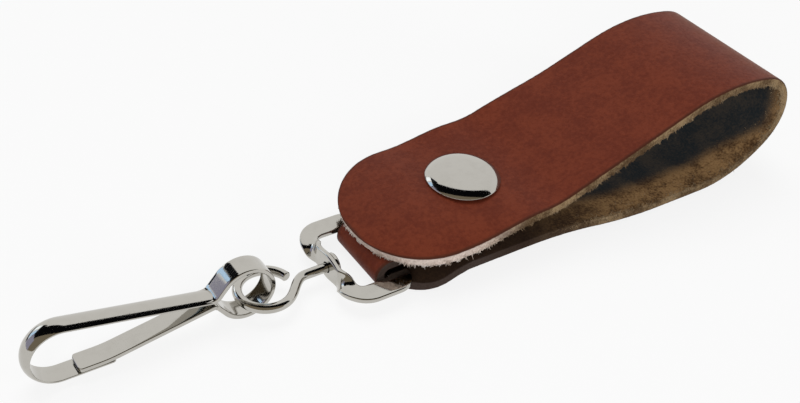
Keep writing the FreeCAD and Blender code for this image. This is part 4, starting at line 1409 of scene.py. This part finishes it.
cap = snap_piece("cap", NICKEL, cap_outline(), closed=False, steps=128)
cap_post_points = [(1.6, 12.05), (6.0, 12.05), (6.0, 11.75), (2.0, 11.75), (2.0, 9.35), (2.6, 9.35)]
cap_post_points += [(2.6, 9.05), (1.6, 9.05)]
cap_post = pressed_piece("cap_post", SNAP_BRASS, 0.1, cap_post_points)
socket_points = [(2.03, 9.6), (5.4, 9.6), (5.4, 9.35), (4.5, 9.35), (4.5, 7.6), (2.4, 7.6), (2.4, 7.85)]
socket_points += [(4.25, 7.85), (4.25, 9.35), (2.03, 9.35)]
socket = pressed_piece("socket", SNAP_NICKEL, 0.1, socket_points)
spring_turns = np.linspace(0.0, 2 * math.pi, 16, endpoint=False)
spring_outline = arc(SPRING_RADIUS, SPRING_HEIGHT, SPRING_WIRE, spring_turns)
spring = snap_piece("spring_ring", SPRING_STEEL, spring_outline)
stud_points = [(1.43, 7.1), (4.7, 7.1), (4.7, 7.5), (1.85, 7.5), (1.85, 8.2), (2.3, 8.45), (2.0, 8.7)]
stud_points += [(1.43, 8.7)]
stud = pressed_piece("stud", SNAP_NICKEL, 0.08, stud_points)
stud_post_points = [(1.0, 3.3), (4.5, 3.3), (4.5, 3.6), (1.4, 3.6), (1.4, 8.7), (1.8, 8.7), (1.8, 8.85)]
stud_post_points += [(1.0, 8.85)]
stud_post = pressed_piece("stud_post", SNAP_BRASS, 0.06, stud_post_points)


# %% [markdown]
# ## Loose fibres
# A raw edge of leather frays. The fibres grow from the flesh side and the lower half of the cut, densest
# right at the edge. A second tree scatters points there, puts a short curve on each, lets it wander, and
# gives it a thickness that tapers towards its tip.

# %% Tree of loose fibres
def random_value(tree, kind, low, high, seed):
    return wire(tree, "FunctionNodeRandomValue", {"Min": low, "Max": high, "Seed": seed}, data_type=kind)


def make_fibre_tree():
    inputs = dict.fromkeys(("Edge Density", "Face Density", "Length", "Thickness", "Bare Until"), "Float")
    inputs["Material"] = "Material"
    tree, given = new_tree("loose_fibres", "GeometryNodeTree", GEOMETRY | inputs, GEOMETRY)
    place = wire(tree, "GeometryNodeInputPosition")
    skin, rim = stored(tree, "skin"), stored(tree, "rim")

    # Where fibres grow: at the cut in tufts, thinly on the flesh side, and not under the snap
    at_cut = remap(skin, -0.8, 0.1, 1.0, 0.0) * remap(rim, 0.0002, 0.0009, 1.0, 0.0)
    is_flesh = remap(skin, -0.98, -0.9, 1.0, 0.0) * remap(rim, 0.001, 0.005, 1.0, 0.0)
    tufts = noise(place, 700.0, 2.0)
    density = at_cut * given["Edge Density"] * remap(tufts, 0.36, 0.62, 0.2, 1.0)
    density = density + is_flesh * given["Face Density"]
    density = density * remap(part(place, "X") - given["Bare Until"], 0.0, 0.012)
    inputs = {"Mesh": given["Geometry"], "Density": density, "Seed": 5}
    spots = add_node(tree, "GeometryNodeDistributePointsOnFaces", inputs).outputs

    # Each fibre leans at random and hangs a little, and its length depends on its tuft
    lean = random_value(tree, VECTOR, (-0.6, -0.6, -0.6), (0.6, 0.6, 0.6), 3)
    way = vector_sum(Wire(tree, spots["Normal"]), lean, (0.0, 0.0, -0.9))
    turn = wire(tree, "FunctionNodeAlignRotationToVector", {"Vector": way}, axis="Z")
    share = random_value(tree, "FLOAT", 0.3, 1.0, 8) * random_value(tree, "FLOAT", 0.4, 1.2, 9)
    length = share * remap(tufts, 0.4, 0.62, 0.3, 1.15) * given["Length"]
    size = wire(tree, "ShaderNodeCombineXYZ", {"X": length, "Y": length, "Z": length})
    strand = wire(tree, "GeometryNodeCurvePrimitiveLine", {"Start": (0, 0, 0), "End": (0, 0, 1)})
    strand = wire(tree, "GeometryNodeResampleCurve", {"Curve": strand, "Count": 5})
    inputs = {"Points": Wire(tree, spots["Points"]), "Instance": strand, "Rotation": turn, "Scale": size}
    strands = wire(tree, "GeometryNodeInstanceOnPoints", inputs)
    strands = wire(tree, "GeometryNodeRealizeInstances", {"Geometry": strands})

    # The strands wander more towards their tips, and get a thickness
    along = wire(tree, "GeometryNodeSplineParameter", None, "Factor")
    wander = vector_sum(noise(place, 1100.0, 1.0, output="Color"), (-0.5, -0.5, -0.5))
    wander = scaled(wander, along * (given["Length"] * 2.2))
    bent = wire(tree, "GeometryNodeSetPosition", {"Geometry": strands, "Offset": wander})
    ring = wire(tree, "GeometryNodeCurvePrimitiveCircle", {"Resolution": 3, "Radius": given["Thickness"]})
    inputs = {"Curve": bent, "Profile Curve": ring, "Scale": 1.0 - along * 0.8, "Fill Caps": True}
    return end_tree(wire(tree, "GeometryNodeCurveToMesh", inputs), given["Material"])


FIBRE_TREE = make_fibre_tree()
print("fibre tree:", len(FIBRE_TREE.nodes), "nodes")


# %% Fibres on the strap
def make_fibre_look():
    material, tree, shader = new_material("leather_fibre")
    tan = hide_pattern(tree, (164, 142, 112), (104, 82, 60), 0.0012, 0.4)
    pale = hide_pattern(tree, (224, 214, 206), (170, 152, 138), 0.0012, 0.4)
    at_tip = remap(part(object_place(tree), "X"), SNAP_X - 0.014, SNAP_X + 0.006, 1.0, 0.0)
    base = blend_colours(at_tip, tan["Color"], pale["Color"])
    rough = remap(tan["Height"], 0.0, 1.0, 0.8, 1.0)
    feed(shader, {"Base Color": base, "Roughness": rough, "Specular IOR Level": 0.1})
    return material


fibre_values = {"Edge Density": 26e6, "Face Density": 1.2e6, "Length": 0.0006, "Thickness": 0.0001}
fibre_values["Material"] = make_fibre_look()
NOWHERE_BARE = -1.0
BARE_UNTIL = SNAP_X + 0.012


def make_fibres(name, strap_piece, bare_until):
    fibres = grown_mesh(strap_piece, FIBRE_TREE, {**fibre_values, "Bare Until": bare_until}, name)
    fibres.data.shade_smooth()
    print(name, len(fibres.data.polygons), "faces")
    return fibres


loop_fibres = make_fibres("loop_fibres", strap_loop, NOWHERE_BARE)
lower_fibres = make_fibres("lower_fibres", strap_lower, BARE_UNTIL)


# %% [markdown]
# ## Which body carries which piece
# The loop and its fibres keep the place they are made in. All other pieces are stiff and ride on one
# body each. Every piece but the fibres takes the place of its solid.

# %% Bodies and slots
for piece in (strap_loop, loop_fibres):
    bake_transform(piece)
carried = [
    (strap_lower, "strap", "strap_back", "leather"),
    (stud, "strap", "snap_stud", "snap_nickel"),
    (stud_post, "strap", "snap_stud_post", "snap_brass"),
    (cap, "flap", "snap_cap", "nickel"),
    (cap_post, "flap", "snap_cap_post", "snap_brass"),
    (socket, "flap", "snap_socket", "snap_nickel"),
    (spring, "flap", "snap_spring", "spring_steel"),
    (bracket, "bracket", "strap_bracket", "nickel"),
    (eye, "swivel", "swivel_eye", "nickel"),
    (hook, "hook", "hook_body", "nickel"),
    (leaf, "gate", "hook_gate", "nickel"),
]
for piece, body, node, slot in carried:
    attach(piece, body)
    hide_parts(node)
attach(lower_fibres, "strap")
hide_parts("strap_flap")
print(len(carried), "stiff pieces carried, 2 bend, and 1 set of fibres lies still")
